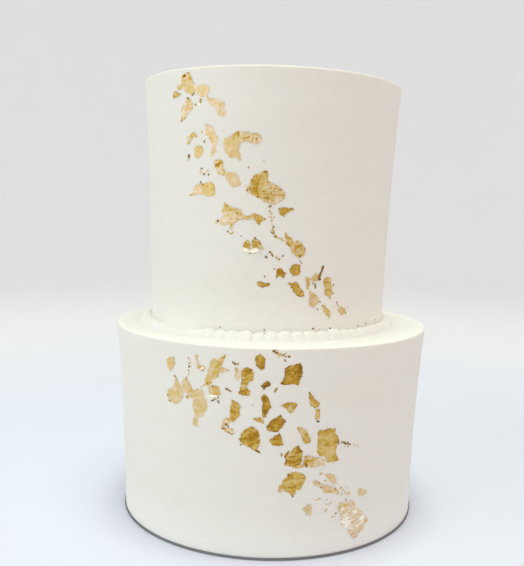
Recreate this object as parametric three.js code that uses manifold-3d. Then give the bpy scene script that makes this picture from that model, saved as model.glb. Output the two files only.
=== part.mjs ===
// A tiered wedding cake: two round tiers in white buttercream, uncut, on a thin dark card.
// Small piped beads go round the foot of the top tier, and torn gold leaf falls in a slanting
// drift down the front of both tiers.
// Millimetres, +Z up. The front faces -Y, and the origin is the middle of the card's underside.

import * as THREE from 'three';
import { mergeVertices } from 'three/addons/utils/BufferGeometryUtils.js';
import Module from 'manifold-3d';

// Driving dimensions
const SIDES = 96;             // facets round each tier
const GAP = 0.3;              // left between two pieces that rest on each other
const CARD_RADIUS = 103.7;
const CARD_THICK = 1.4;
const RIM_STEPS = 3;          // facets round a tier's rounded rim
const FLARE_BEND = 2.1;       // a wall is upright low down and flares towards its rim: 1 is a cone
// Where the wall's facets begin, as shares of its height.
const WALL_ROWS = [0, 0.3, 0.55, 0.75, 0.9];

const CARD_TOP = CARD_THICK;
const BOTTOM_FOOT = CARD_TOP + GAP;
const BOTTOM_TALL = 129.6;
const BOTTOM_TOP = BOTTOM_FOOT + BOTTOM_TALL;

// A tier: its radius at the foot and at the top, its height, how rounded its rim is, where its
// middle stands, how far its top leans to the right, and the slope of its hand-levelled top.
const BOTTOM = {
  foot: 103.2, top: 107.4, base: BOTTOM_FOOT, tall: BOTTOM_TALL, rim: 1.4, x: 0, lean: 0, slope: 0,
};
const TOP = {
  foot: 80.9, top: 85.2, base: BOTTOM_TOP + GAP, tall: 156, rim: 1.3, x: -3, lean: 1.5, slope: 0.0116,
};

// The piped border
const BEADS = 67;
const BEAD_SIDES = 8;
const BEAD_ALONG = 9.2;       // a bead's length along the border, which makes it meet the next
const BEAD_ACROSS = 7.8;
const BEAD_TALL = 6.6;
const BEAD_UNEVEN = 0.035;    // how far a hand-piped bead strays from its size, as a share
const BEAD_SEED = 7;
// A bead's profile: shares of its width and height, from the middle of its foot to its tip.
const BEAD_PROFILE = [[0, 0], [1, 0], [0.8, 0.68], [0, 1]];

// The gold leaf
const LEAF_PROUD = 0.7;       // how far a flake stands off the buttercream
const LEAF_DEEP = 1.2;        // how far its solid reaches into the tier
const LEAF_STEP = 3.6;        // length of one segment of a flake
const LEAF_TORN = 0.16;       // how far the torn edge strays, as a share of the width
const LEAF_SEED = 31;

// Each flake: how far round the wall it lies from the front line, to the right, and how high
// above the tier's foot; its length and greatest width; how many degrees it leans to the right;
// the widths of its foot and head as shares of the greatest; and how far its middle bows right.
const TOP_LEAF = [
  [-55.5, 147, 10, 13, 12, 1, 0.35, 0],
  [-48.5, 144, 8, 6, 100, 0.7, 0.8, 0],
  [-40.8, 143, 9, 7.5, 75, 0.5, 0.9, 0],
  [-52.5, 133, 14, 7.5, 40, 0.4, 0.7, 1],
  [-30.8, 133.6, 13, 7.5, -46, 0.3, 0.5, 1.5],
  [-36.4, 120, 9, 6, -30, 0.5, 0.7, 0],
  [-33.5, 111.8, 12, 4.5, 4, 0.4, 0.9, 0.8],
  [-49.6, 116, 9.5, 3.6, 50, 0.9, 0.4, -1.5],
  [-43.7, 109, 7, 6.5, 0, 0.6, 0.7, 0],
  [-23, 110.4, 14, 9.5, -40, 0.35, 0.9, 0],
  [-13.4, 116, 16, 5.6, 92, 0.9, 0.7, 0],
  [-29.5, 99.3, 10, 4.5, -28, 0.5, 0.9, 0],
  [-21.4, 93.4, 11, 7, -52, 0.8, 0.4, 0],
  [-36.8, 87, 8.5, 8.5, 0, 0.7, 0.6, 0],
  [-44.4, 85.8, 10, 5, 75, 0.2, 0.9, 0],
  [-5.4, 90.6, 15, 11, 25, 0.8, 0.4, -1],
  [2.3, 85.6, 15, 9, -66, 0.6, 0.8, 0],
  [8.9, 75.6, 7, 4.6, 80, 0.6, 0.7, 0],
  [-21.6, 73.6, 13, 8.5, -60, 0.6, 0.8, 0],
  [-26.2, 69, 7, 3.2, 62, 0.5, 0.9, 0],
  [-6, 71, 7, 6.2, 4, 0.25, 0.9, 0],
  [-12.2, 56.2, 5, 5, 10, 0.9, 0.4, 0],
  [-6, 56.4, 8, 6.2, -35, 0.5, 0.8, 0],
  [13.2, 60, 7, 5, -30, 0.9, 0.3, 0],
  [18, 55.2, 12, 7.5, -48, 0.6, 0.8, 0.6],
  [17, 42, 7, 7, 10, 0.8, 0.75, 0],
  [8.1, 39.6, 7.2, 5.2, 82, 0.55, 0.7, 0],
  [-2, 33.3, 7, 2.8, 95, 0.9, 0.8, 0],
  [18.2, 30.8, 12, 6.2, -42, 0.4, 0.6, 0],
  [28.2, 36, 8, 5.5, 40, 0.4, 0.7, 0],
  [29.2, 24, 9, 6.2, -10, 0.6, 0.4, 0],
  [39, 31, 13.5, 6.5, -18, 0.4, 0.6, 0],
  [38.8, 17, 9, 4, -35, 0.6, 0.5, 0],
  [50, 16.6, 7, 4.8, 76, 0.7, 0.5, 0],
];
const BOTTOM_LEAF = [
  [-62.5, 114.9, 8, 6.2, 5, 0.7, 0.8, 0],
  [-41.6, 117.6, 10, 3, -32, 0.8, 0.5, -1.4],
  [-32.4, 113.6, 19, 8, 26, 0.45, 0.55, 0],
  [-32.5, 102.6, 7.5, 5, 90, 0.8, 0.9, 0],
  [-12.6, 112.6, 9.5, 8, 0, 0.8, 0.6, 0],
  [-14.4, 105.8, 9.5, 6, 5, 0.9, 0.8, 0],
  [-5.8, 120.6, 10.4, 6.6, -5, 0.4, 0.4, 0],
  [13.6, 114.4, 12, 9.4, 18, 0.9, 0.75, 0],
  [-1.5, 107.9, 6.2, 3.3, 78, 0.7, 0.6, 0],
  [-59, 97.4, 12, 11.5, 0, 0.55, 0.5, 0],
  [-50, 103.1, 7, 7, 0, 0.5, 0.5, 0],
  [-43.6, 99.2, 8, 8.4, 80, 0.8, 0.8, 0],
  [-41.6, 91, 12, 9, -4, 0.5, 0.8, 0],
  [-44.6, 82.6, 8, 3.2, 25, 0.6, 0.8, 0],
  [-19.5, 92, 13, 5.6, -8, 0.5, 0.4, 1],
  [-2, 93.6, 16.4, 4.8, 0, 0.5, 0.7, 1],
  [12, 95.3, 10, 5, 94, 0.25, 0.6, 0],
  [26.2, 97.6, 10.4, 4.6, -32, 0.5, 0.4, 0],
  [28.7, 89.6, 8, 3, -3, 0.9, 1, 0],
  [4.8, 85, 11, 6.8, 45, 0.5, 0.5, 0],
  [-10.4, 76, 14, 12.4, -15, 0.5, 0.5, 0],
  [5.4, 74.6, 7.2, 7.8, 0, 0.9, 0.35, 0],
  [21.2, 77.2, 10.4, 5, -28, 0.55, 0.4, 0],
  [36.5, 70.5, 20.4, 12.6, -8, 0.75, 0.85, 0],
  [15.5, 63.4, 11, 10.2, 5, 0.9, 0.6, 0],
  [27.6, 61, 13.5, 5, 97, 0.8, 0.8, 0],
  [16, 49.2, 12.5, 11.8, 25, 0.6, 0.75, 0],
  [38, 50.2, 10, 3.6, -60, 0.5, 0.6, 1.1],
  [30.5, 46.6, 6.5, 4, -70, 0.6, 0.8, 0],
  [38.8, 42.8, 11, 4, -68, 0.4, 0.8, 0],
  [25.4, 31.2, 7, 5.4, 5, 0.7, 0.7, 0],
  [57.5, 19.9, 25.5, 17, -24, 0.42, 0.55, 0],
  [62, 36.6, 6.4, 4.6, 88, 0.8, 0.7, 0],
];

const wasm = await Module();
wasm.setup();

const BUTTERCREAM = new THREE.MeshStandardMaterial({ color: 0xefeae0, roughness: 0.62, metalness: 0 });
const BLACK_CARD = new THREE.MeshStandardMaterial({ color: 0x3c3b3c, roughness: 0.8, metalness: 0 });

// A repeatable source of numbers from 0 to 1 (mulberry32).
function draws(seed) {
  let state = seed >>> 0;
  return () => {
    state = (state + 0x6d2b79f5) >>> 0;
    let t = state;
    t = Math.imul(t ^ (t >>> 15), t | 1);
    t ^= t + Math.imul(t ^ (t >>> 7), t | 61);
    return ((t ^ (t >>> 14)) >>> 0) / 4294967296;
  };
}

// A closed geometry as a solid that can be joined.
function solidOf(geometry) {
  const bare = geometry.clone();
  bare.deleteAttribute('normal');
  bare.deleteAttribute('uv');
  const merged = mergeVertices(bare, 1e-4);
  const index = merged.index.array;
  const triangles = [];
  for (let i = 0; i < index.length; i += 3) {
    const [a, b, c] = [index[i], index[i + 1], index[i + 2]];
    if (a !== b && b !== c && c !== a) triangles.push(a, b, c);
  }
  return new wasm.Manifold(new wasm.Mesh({
    numProp: 3,
    vertProperties: new Float32Array(merged.attributes.position.array),
    triVerts: new Uint32Array(triangles),
  }));
}

function geometryOf(solid) {
  const mesh = solid.getMesh();
  const geometry = new THREE.BufferGeometry();
  geometry.setAttribute('position', new THREE.BufferAttribute(mesh.vertProperties, 3));
  geometry.setIndex(new THREE.BufferAttribute(mesh.triVerts, 1));
  geometry.computeVertexNormals();
  return geometry;
}

// The point of a tier at a turn from the front line, a radius, and a share of its height.
function tierPoint(tier, turn, radius, share) {
  const side = radius * Math.sin(turn);
  const rise = tier.tall - tier.slope * side;
  const middle = tier.x + tier.lean * share;
  return new THREE.Vector3(middle + side, -radius * Math.cos(turn), tier.base + rise * share);
}

// A tier's radius at a share of its height.
function wallRadius(tier, share) {
  return tier.foot + (tier.top - tier.foot) * share ** FLARE_BEND;
}

// The point of a tier's wall, given as a place on the wall and how far it stands off it.
function wallPoint(tier, around, up, off) {
  const share = up / tier.tall;
  const radius = wallRadius(tier, share);
  return tierPoint(tier, around / radius, radius + off, share);
}

// The profile from the middle of the foot, up the wall, round the rim and back to the axis.
function tierCore(tier) {
  const profile = [new THREE.Vector2(0, 0)];
  for (const share of WALL_ROWS) profile.push(new THREE.Vector2(wallRadius(tier, share), share));
  const rimShare = tier.rim / tier.tall;
  for (let step = 0; step <= RIM_STEPS; step += 1) {
    const angle = (step / RIM_STEPS) * Math.PI / 2;
    const share = 1 - rimShare * (1 - Math.sin(angle));
    const radius = wallRadius(tier, share) - tier.rim * (1 - Math.cos(angle));
    profile.push(new THREE.Vector2(radius, share));
  }
  profile.push(new THREE.Vector2(0, 1));
  const lathe = new THREE.LatheGeometry(profile, SIDES);
  const position = lathe.attributes.position;
  for (let i = 0; i < position.count; i += 1) {
    const [x, share, z] = [position.getX(i), position.getY(i), position.getZ(i)];
    const point = tierPoint(tier, Math.atan2(x, z), Math.hypot(x, z), share);
    position.setXYZ(i, point.x, point.y, point.z);
  }
  return solidOf(lathe);
}

// Half a flake's width at a share of its length, with its widest place in the middle.
function halfWidth(wide, foot, head, share) {
  const end = share < 0.5 ? foot : head;
  const reach = 1 - Math.abs(2 * share - 1);
  return (wide / 2) * (end + (1 - end) * Math.sin(reach * Math.PI / 2));
}

// One flake: a thin slab that starts as a box, is torn along both edges and bent onto the wall.
function flake(tier, [around, up, long, wide, lean, foot, head, bow], random) {
  const steps = Math.max(2, Math.round(long / LEAF_STEP));
  const torn = Array.from({ length: 2 * (steps + 1) }, () => 1 + LEAF_TORN * (2 * random() - 1));
  const slab = new THREE.BoxGeometry(2, 1, 1, 2, steps, 1);
  const position = slab.attributes.position;
  const tilt = THREE.MathUtils.degToRad(lean);
  for (let i = 0; i < position.count; i += 1) {
    const side = Math.round(position.getX(i));
    const share = position.getY(i) + 0.5;
    const station = Math.round(share * steps);
    const edge = torn[2 * station + (side > 0 ? 1 : 0)];
    const across = side * halfWidth(wide, foot, head, share) * edge + bow * Math.sin(share * Math.PI);
    const along = (share - 0.5) * long;
    const off = position.getZ(i) > 0 ? LEAF_PROUD : -LEAF_DEEP;
    const point = wallPoint(
      tier,
      around + across * Math.cos(tilt) + along * Math.sin(tilt),
      up - across * Math.sin(tilt) + along * Math.cos(tilt),
      off,
    );
    position.setXYZ(i, point.x, point.y, point.z);
  }
  return solidOf(slab);
}

function tierMesh(name, tier, leaf, seed) {
  const random = draws(seed);
  let solid = tierCore(tier);
  for (const row of leaf) solid = solid.add(flake(tier, row, random));
  const mesh = new THREE.Mesh(geometryOf(solid), BUTTERCREAM);
  mesh.name = name;
  return mesh;
}

// One bead of the border, a soft dome that is a little longer along the border than across it.
function bead(size) {
  const profile = BEAD_PROFILE.map(([width, height]) => new THREE.Vector2(width / 2, height));
  const lathe = new THREE.LatheGeometry(profile, BEAD_SIDES);
  lathe.rotateX(Math.PI / 2);
  lathe.rotateZ(Math.PI / BEAD_SIDES);
  lathe.scale(BEAD_ALONG * size, BEAD_ACROSS * size, BEAD_TALL * size);
  return lathe;
}

function borderMesh() {
  const random = draws(BEAD_SEED);
  const wall = wallRadius(TOP, BEAD_TALL / TOP.tall);
  let solid = null;
  for (let k = 0; k < BEADS; k += 1) {
    const size = 1 + BEAD_UNEVEN * (2 * random() - 1);
    const turn = (2 * Math.PI * k) / BEADS;
    const ring = wall + GAP + (BEAD_ACROSS * size) / 2;
    const piped = bead(size);
    piped.rotateZ(turn);
    piped.translate(TOP.x + ring * Math.sin(turn), -ring * Math.cos(turn), TOP.base);
    const next = solidOf(piped);
    solid = solid ? solid.add(next) : next;
  }
  const mesh = new THREE.Mesh(geometryOf(solid), BUTTERCREAM);
  mesh.name = 'bead_border';
  return mesh;
}

function cardMesh() {
  const card = new THREE.CylinderGeometry(CARD_RADIUS, CARD_RADIUS, CARD_THICK, SIDES);
  card.rotateX(Math.PI / 2);
  card.translate(0, 0, CARD_THICK / 2);
  const mesh = new THREE.Mesh(card, BLACK_CARD);
  mesh.name = 'cake_card';
  return mesh;
}

const cake = new THREE.Group();
cake.add(cardMesh());
cake.add(tierMesh('bottom_tier', BOTTOM, BOTTOM_LEAF, LEAF_SEED));
cake.add(tierMesh('top_tier', TOP, TOP_LEAF, LEAF_SEED + 1));
cake.add(borderMesh());

export default cake;
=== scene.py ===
# %% [markdown]
# A tiered wedding cake, dressed for its picture.
#
# The solids of this cake are already worked out: a dark card, a wide tier, a narrower tier on
# top of it and a ring of piped beads. This lesson gives them the looks of the real thing, which
# is all buttercream that a hand has scraped smooth, and gold leaf so thin that it tears as it is
# laid on. We work in millimetres in our heads and in metres in Blender, so one constant turns
# the first into the second.

# %% Load the frame
import math
import random
from collections import namedtuple

import bpy
import numpy as np
from mathutils import Matrix, Vector


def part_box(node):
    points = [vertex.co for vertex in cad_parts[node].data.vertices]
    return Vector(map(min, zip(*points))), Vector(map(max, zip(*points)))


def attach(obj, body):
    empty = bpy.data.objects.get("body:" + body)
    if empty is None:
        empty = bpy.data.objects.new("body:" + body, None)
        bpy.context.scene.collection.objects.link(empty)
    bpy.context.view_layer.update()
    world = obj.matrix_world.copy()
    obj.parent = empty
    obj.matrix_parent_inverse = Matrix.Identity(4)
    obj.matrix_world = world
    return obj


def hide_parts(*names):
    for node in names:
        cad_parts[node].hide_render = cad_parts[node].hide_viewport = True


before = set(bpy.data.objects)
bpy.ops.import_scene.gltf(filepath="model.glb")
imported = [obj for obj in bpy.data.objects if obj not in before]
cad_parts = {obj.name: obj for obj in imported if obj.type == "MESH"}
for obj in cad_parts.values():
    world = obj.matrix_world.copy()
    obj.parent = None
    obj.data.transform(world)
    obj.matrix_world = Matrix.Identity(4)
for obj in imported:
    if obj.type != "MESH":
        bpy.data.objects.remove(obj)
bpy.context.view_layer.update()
MM = 0.001

# %% [markdown]
# A tier is nearly a cylinder. Its wall stands upright low down and flares a little towards the
# rim, the rim is rounded by the scraper, and the top tier leans and slopes by a hair, as stacked
# cakes do. We read the sizes from the solids, so that what we make lies exactly where they are.

# %% Measure the tiers
Tier = namedtuple("Tier", "foot top base tall rim x lean slope")

BOTTOM_FLARE = 4.2    # mm, how much wider the rim is than the foot
TOP_FLARE = 4.3
FLARE_BEND = 2.1      # 1 would be a cone, and more keeps the flare near the rim
BOTTOM_RIM = 1.4      # mm, how rounded the rim is
TOP_RIM = 1.3
TOP_LEAN = 1.5        # mm to the right, from the foot to the top
TOP_SLOPE = 0.0116    # mm that its top falls for each mm to the right


def measured_tier(node, flare, rim, lean, slope):
    low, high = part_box(node)
    top = (high.x - low.x) / 2 / MM
    tall = (high.z - low.z) / MM - slope * top
    middle = (high.x + low.x) / 2 / MM - lean
    return Tier(top - flare, top, low.z / MM, tall, rim, middle, lean, slope)


def wall_radius(tier, share):
    """A tier's radius in mm at a share of its height."""
    return tier.foot + (tier.top - tier.foot) * np.clip(share, 0, 1) ** FLARE_BEND


BOTTOM = measured_tier("bottom_tier", BOTTOM_FLARE, BOTTOM_RIM, 0.0, 0.0)
TOP = measured_tier("top_tier", TOP_FLARE, TOP_RIM, TOP_LEAN, TOP_SLOPE)
for title, tier in (("bottom", BOTTOM), ("top", TOP)):
    print(title, [round(value, 2) for value in tier])

# %% [markdown]
# A hand never scrapes buttercream quite flat. We add a few long, shallow waves to each wall. Each
# wave goes round the tier a whole number of times, so it meets itself at the back with no step.
# They only ever take a little away, which keeps the cake inside its real size.

# %% Waves in the wall
HAND_DEPTH = 0.30     # mm, the longest and deepest waves
SCRAPE_DEPTH = 0.05   # mm, the level bands that the scraper leaves


def waves(seed, count, most_turns, shortest, longest):
    """A function of turn (radians) and height (mm) that wanders between -1 and 1."""
    draw = random.Random(seed)
    parts = []
    for _ in range(count):
        turns = draw.randint(0, most_turns)
        rise = 2 * math.pi / draw.uniform(shortest, longest)
        parts.append((turns, rise, draw.uniform(0, 2 * math.pi)))

    def height(turn, up):
        total = sum(np.cos(turns * turn + rise * up + start) for turns, rise, start in parts)
        return total / math.sqrt(2 * count) / 1.6

    return height


HAND = {"bottom": waves(3, 7, 7, 70, 260), "top": waves(8, 7, 6, 60, 240)}
SCRAPE = {"bottom": waves(5, 12, 9, 2.6, 9), "top": waves(6, 12, 9, 2.4, 8)}


def hollow(title, turn, up):
    """How far the wall lies inside its true radius, in mm."""
    hand = HAND_DEPTH * (1 + HAND[title](turn, up)) / 2
    return np.clip(hand, 0, None) + SCRAPE_DEPTH * (1 + SCRAPE[title](turn, up)) / 2


print("hollow at the front of the top tier, mm:", round(float(hollow("top", 0.0, 80.0)), 3))

# %% [markdown]
# Every place on a wall is given by two lengths that a decorator could measure with a tape: how
# far round it is from the front line, and how far above the tier's foot. One function turns the
# two into a point in space, and the leaf, the crumbs and the walls themselves all use it.

# %% From the wall to space
def tier_point(tier, turn, radius, share):
    side = radius * np.sin(turn)
    rise = tier.tall - tier.slope * side
    x = tier.x + tier.lean * share + side
    return np.stack([x, -radius * np.cos(turn), tier.base + rise * share], axis=-1)


def wall_point(title, around, up, off):
    """The point at a place on a wall, off mm proud of the buttercream there."""
    tier = BOTTOM if title == "bottom" else TOP
    around, up, off = np.broadcast_arrays(*(np.asarray(v, float) for v in (around, up, off)))
    share = up / tier.tall
    turn = around / wall_radius(tier, share)
    return tier_point(tier, turn, wall_radius(tier, share) - hollow(title, turn, up) + off, share)


def mesh_piece(name, points, faces, finish):
    """A mesh object from points in mm, wearing one material."""
    mesh = bpy.data.meshes.new(name)
    mesh.from_pydata((np.asarray(points) * MM).tolist(), [], faces)
    mesh.validate()
    mesh.shade_smooth()
    mesh.materials.append(finish)
    piece = bpy.data.objects.new(name, mesh)
    bpy.context.scene.collection.objects.link(piece)
    return piece


def note_values(piece, name, values):
    """Keeps one number for each point of a mesh, which its material can read by name."""
    layer = piece.data.attributes.new(name, "FLOAT", "POINT")
    layer.data.foreach_set("value", np.asarray(values, np.float32))


def note_spread(piece, places):
    """Keeps a place in mm for each point of a mesh, which the marks in the cream follow."""
    layer = piece.data.attributes.new("spread", "FLOAT_VECTOR", "POINT")
    layer.data.foreach_set("vector", (places * MM).astype(np.float32).ravel())


print("front of the top tier at half height:", wall_point("top", 0.0, TOP.tall / 2, 0.0).round(1))

# %% [markdown]
# The camera stands in front of the cake at half the height of the top tier, and looks down by
# about ten degrees. Its place, its focal length and its small roll come from fitting the cake's
# own outline to the picture. The picture was cropped after it was taken, which is why the lens is
# shifted.

# %% Camera
CAMERA_PLACE = (0.0, -502.8, 209.0)   # mm
CAMERA_PITCH = 10.435                 # degrees down
CAMERA_YAW = -0.67                    # degrees to the right
CAMERA_ROLL = 1.10
CAMERA_LENS = 45.45                   # mm, on a 36 mm sensor
CAMERA_SHIFT = 0.1


def camera_turn(yaw, pitch, roll):
    """The camera's axes: to its right, up, and back towards the viewer."""
    ahead = Vector((
        math.sin(yaw) * math.cos(pitch), math.cos(yaw) * math.cos(pitch), -math.sin(pitch)))
    right = ahead.cross(Vector((0, 0, 1))).normalized()
    up = right.cross(ahead)
    tipped_right = right * math.cos(roll) + up * math.sin(roll)
    tipped_up = up * math.cos(roll) - right * math.sin(roll)
    return Matrix((tipped_right, tipped_up, -ahead)).transposed()


camera_data = bpy.data.cameras.new("camera")
camera_data.lens = CAMERA_LENS
camera_data.sensor_width = 36
camera_data.shift_y = CAMERA_SHIFT
camera_data.dof.use_dof = False
camera = bpy.data.objects.new("camera", camera_data)
camera.matrix_world = Matrix.Translation(Vector(CAMERA_PLACE) * MM) @ camera_turn(
    math.radians(CAMERA_YAW), math.radians(CAMERA_PITCH), math.radians(CAMERA_ROLL)).to_4x4()
bpy.context.scene.collection.objects.link(camera)
bpy.context.scene.camera = camera
print("camera at", [round(c / MM) for c in camera.matrix_world.translation])

# %% [markdown]
# A material in Blender is a net of nodes, and most of a net is sums. We wrap a socket in a small
# class, so that a sum on sockets can be written as a sum in Python, and each operator adds the
# Math node that it stands for. The reflected forms let a plain number come first, as in
# 1 - mask. Everything else is made by one method, called node, and two kinds of node that come
# again and again have a method of their own.

# %% Shader sums
class Wire:
    """A socket's value, which can be added, subtracted and multiplied like a number."""

    def __init__(self, finish, socket):
        self.finish = finish
        self.socket = socket

    def sum_of(self, operation, first, second):
        return self.finish.node("ShaderNodeMath", {"operation": operation}, {0: first, 1: second})

    def __add__(self, other):
        return self.sum_of("ADD", self, other)

    def __radd__(self, other):
        return self.sum_of("ADD", other, self)

    def __sub__(self, other):
        return self.sum_of("SUBTRACT", self, other)

    def __rsub__(self, other):
        return self.sum_of("SUBTRACT", other, self)

    def __mul__(self, other):
        return self.sum_of("MULTIPLY", self, other)

    def __rmul__(self, other):
        return self.sum_of("MULTIPLY", other, self)


class Finish:
    """A material that is being made, one node at a time."""

    def __init__(self, name, **fixed):
        self.material = bpy.data.materials.new(name)
        self.material.use_nodes = True
        self.tree = self.material.node_tree
        self.tree.nodes.clear()
        self.surface = self.tree.nodes.new("ShaderNodeBsdfPrincipled")
        for socket, value in fixed.items():
            self.surface.inputs[socket.replace("_", " ")].default_value = value
        output = self.tree.nodes.new("ShaderNodeOutputMaterial")
        self.tree.links.new(self.surface.outputs[0], output.inputs["Surface"])

    def plug(self, socket, value):
        if isinstance(value, Wire):
            self.tree.links.new(value.socket, socket)
        else:
            socket.default_value = value

    def node(self, kind, settings=None, plugs=None, out=0):
        """Adds a node: its settings first, then what goes into its sockets. Gives one output."""
        node = self.tree.nodes.new(kind)
        for name, value in (settings or {}).items():
            if name == "stops":
                while len(node.color_ramp.elements) < len(value):
                    node.color_ramp.elements.new(1)
                for stop, (place, colour) in zip(node.color_ramp.elements, value):
                    stop.position = place
                    stop.color = colour
            else:
                setattr(node, name, value)
        for name, value in (plugs or {}).items():
            self.plug(node.inputs[name], value)
        return Wire(self, node.outputs[out])

    def smooth(self, value, low, high, at_low=0.0, at_high=1.0):
        """Goes gently from one number to another while a value goes from low to high."""
        return self.node("ShaderNodeMapRange", {"interpolation_type": "SMOOTHSTEP"}, {
            "Value": value, "From Min": low, "From Max": high, "To Min": at_low, "To Max": at_high})

    def mix(self, share, first, second):
        """The first colour where the share is 0, and the second where it is 1."""
        return self.node("ShaderNodeMix", {"data_type": "RGBA"}, {
            "Factor": share, "A": first, "B": second}, out=2)

    def wear(self, **wires):
        """Leads wires into the surface's own sockets."""
        for socket, wire in wires.items():
            self.plug(self.surface.inputs[socket.replace("_", " ")], wire)
        return self.material


def shade(red, green, blue):
    """A colour given as it is seen on a screen, 0 to 255, as the linear colour Blender uses."""
    linear = [((c / 255 + 0.055) / 1.055) ** 2.4 if c > 10 else c / 255 / 12.92
              for c in (red, green, blue)]
    return (*linear, 1.0)


print("white on the screen is", shade(255, 255, 255))

# %% [markdown]
# Buttercream is butter and sugar beaten white, so it is a warm white, soft rather than shiny,
# with light that sinks a little way in. What gives it away is the scraper. A metal edge held
# level while the cake turns leaves fine level streaks, a few torn pits where a crumb was dragged
# and here and there a patch that was left a little rougher. We keep two things for each point of
# the wall. The first, spread, is where it lies round the tier and how far along the wall's
# profile, so that the streaks follow the wall up and then turn into rings on the top. The second
# says where light and shade are painted into the cream's colour: painted light makes the ledge and
# the foot paler, and painted shade makes the top a touch deeper.

# %% Buttercream
CREAM_PALE = shade(242, 240, 231)
CREAM_WARM = shade(239, 235, 223)
# Painted light: the paler cream of the ledge, the foot and the beads.
CREAM_PAINTED_LIGHT = shade(253, 253, 245)
CREAM_PAINTED_SHADE = shade(236, 229, 223)     # painted shade, a touch deeper, on the top tier's top
BUMP_SHARES = {"streaks": 0.6, "bands": 2.4, "mottle": 3.4, "grain": 0.1, "pits": 1.8}


def buttercream():
    finish = Finish(
        "buttercream", Roughness=0.5, IOR=1.45, Subsurface_Weight=0.12,
        Subsurface_Radius=(0.9, 0.7, 0.45), Subsurface_Scale=0.004)
    spot = finish.node("ShaderNodeAttribute", {"attribute_name": "spread"}, out=1)
    place = finish.node("ShaderNodeTexCoord", out=3)

    def noise(vector, scale, detail, stretch):
        stretched = finish.node("ShaderNodeVectorMath", {"operation": "MULTIPLY"},
                                {0: vector, 1: stretch})
        return finish.node("ShaderNodeTexNoise", {"noise_dimensions": "3D"},
                           {"Vector": stretched, "Scale": scale, "Detail": detail})

    streaks = noise(spot, 1.0, 4.0, (12, 12, 900))
    broad = noise(spot, 1.0, 2.0, (9, 9, 60))
    bands = noise(spot, 1.0, 2.0, (11, 11, 250))
    mottle = noise(spot, 1.0, 2.0, (90, 90, 190))
    grain = noise(place, 1400.0, 3.0, (1, 1, 1))
    pores = finish.node("ShaderNodeTexVoronoi", {"distance": "EUCLIDEAN"},
                        {"Vector": spot, "Scale": 420.0})
    rough_patch = noise(place, 14.0, 2.0, (1, 1, 1))
    pit = finish.smooth(pores, 0.05, 0.24, 1.0, 0.0)
    torn = finish.smooth(rough_patch, 0.52, 0.66)
    share = BUMP_SHARES
    height = streaks * share["streaks"] + bands * share["bands"] + mottle * share["mottle"]
    height = height + grain * share["grain"] - pit * torn * share["pits"]
    bump = finish.node("ShaderNodeBump", {}, {
        "Strength": 0.35, "Distance": 0.0005, "Height": height})
    wall = finish.mix(broad, CREAM_PALE, CREAM_WARM)
    # Painted light and shade: 1 mixes in the paler cream, and -1 mixes in the deeper cream of the top.
    crust = finish.node("ShaderNodeAttribute", {"attribute_name": "crust"}, out=2)
    colour = finish.mix(crust, wall, CREAM_PAINTED_LIGHT)
    colour = finish.mix(crust * -1, colour, CREAM_PAINTED_SHADE)
    return finish.wear(Base_Color=colour, Normal=bump, Roughness=streaks * 0.2 + 0.42)


BUTTERCREAM = buttercream()
print("made", BUTTERCREAM.name, "with", len(BUTTERCREAM.node_tree.nodes), "nodes")

# %% [markdown]
# Each tier is made as one grid that runs from the middle of its foot, up the wall, round the rim
# and back to the middle of its top. The wall takes most of the rows, about one each millimetre,
# because that is where the waves and the marks of the scraper are. The rim gets rows of its own,
# so that its small round catches a thin line of light. The top tier has two marks of a hand as
# well: a wiped patch near its rim, and cream that was pushed into the corner at its foot.

# %% Tiers
TURN_STEPS = 480
ROW_STEP = 1.15       # mm between the rows of the wall
FOOT_ROUND = 0.3      # mm, how rounded the foot is
FOOT_DROP = 0.25      # mm, the soft foot sinks by this into what it stands on
RIM_ROWS = 8
RIM_UNEVEN = 0.22     # mm, how far the rim wanders up and down
SMEAR = (31.0, 149.0, 20.0, 5.0)    # a wiped patch by the top tier's rim: place and half sizes
SMEAR_DEPTH = 0.26                  # mm
SMEAR_WAVES = (9, 2.2)              # how close its waves lie, round the tier and up it
FILLET = (-58.0, 19.0, 7.0, 5.2)    # cream wiped into the corner: place, half length, height, reach
LEDGE_EDGE = 0.5                    # mm below a tier's top, where the ledge begins; the bottom tier's ledge is painted paler from here
FLAT = 0.01                         # mm, near enough to the top to lie on it
FOOT_PAINTED_LIGHT_FADE = 34                     # mm, how far up the wall the painted light at the foot fades
RIM_SOFT = 4                        # mm, how far down from the rim its unevenness fades


def painted_light_shade_at(tier, up):
    """1 is painted light, as on the bottom tier's ledge and fading up from the foot, and -1 painted shade on
    the top.
    """
    if tier is BOTTOM and up > tier.tall - LEDGE_EDGE:
        return 1.0
    if up > tier.tall - LEDGE_EDGE:
        return -1.0 if up > tier.tall - FLAT else 0.0
    return max(0.0, 1 - max(0.0, up) / FOOT_PAINTED_LIGHT_FADE) ** 1.5


def profile_rows(tier):
    """(radius in mm, height in mm, how much of the wall's waves the row takes) from foot to top."""
    rows = [(tier.foot * share, -FOOT_DROP, 0.0) for share in (0.0, 0.6, 0.97)]
    rows += [(tier.foot - FOOT_ROUND * (1 - math.sin(a)), FOOT_ROUND * (1 - math.cos(a)) - FOOT_DROP, 0.6)
             for a in (0.2, 0.7, 1.2, math.pi / 2)]
    wall_top = tier.tall - tier.rim
    for up in np.arange(ROW_STEP, wall_top - ROW_STEP / 2, ROW_STEP):
        rows.append((wall_radius(tier, up / tier.tall), up, 1.0))
    for a in np.linspace(0, math.pi / 2, RIM_ROWS):
        up = wall_top + tier.rim * math.sin(a)
        rows.append((wall_radius(tier, up / tier.tall) - tier.rim * (1 - math.cos(a)), up, 1.0))
    inner = tier.top - tier.rim
    rows += [(inner * share, tier.tall, share) for share in (0.985, 0.96, 0.92, 0.85, 0.7, 0.5, 0.3, 0.12)]
    rows.append((0.0, tier.tall, 0.0))
    return rows


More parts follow.
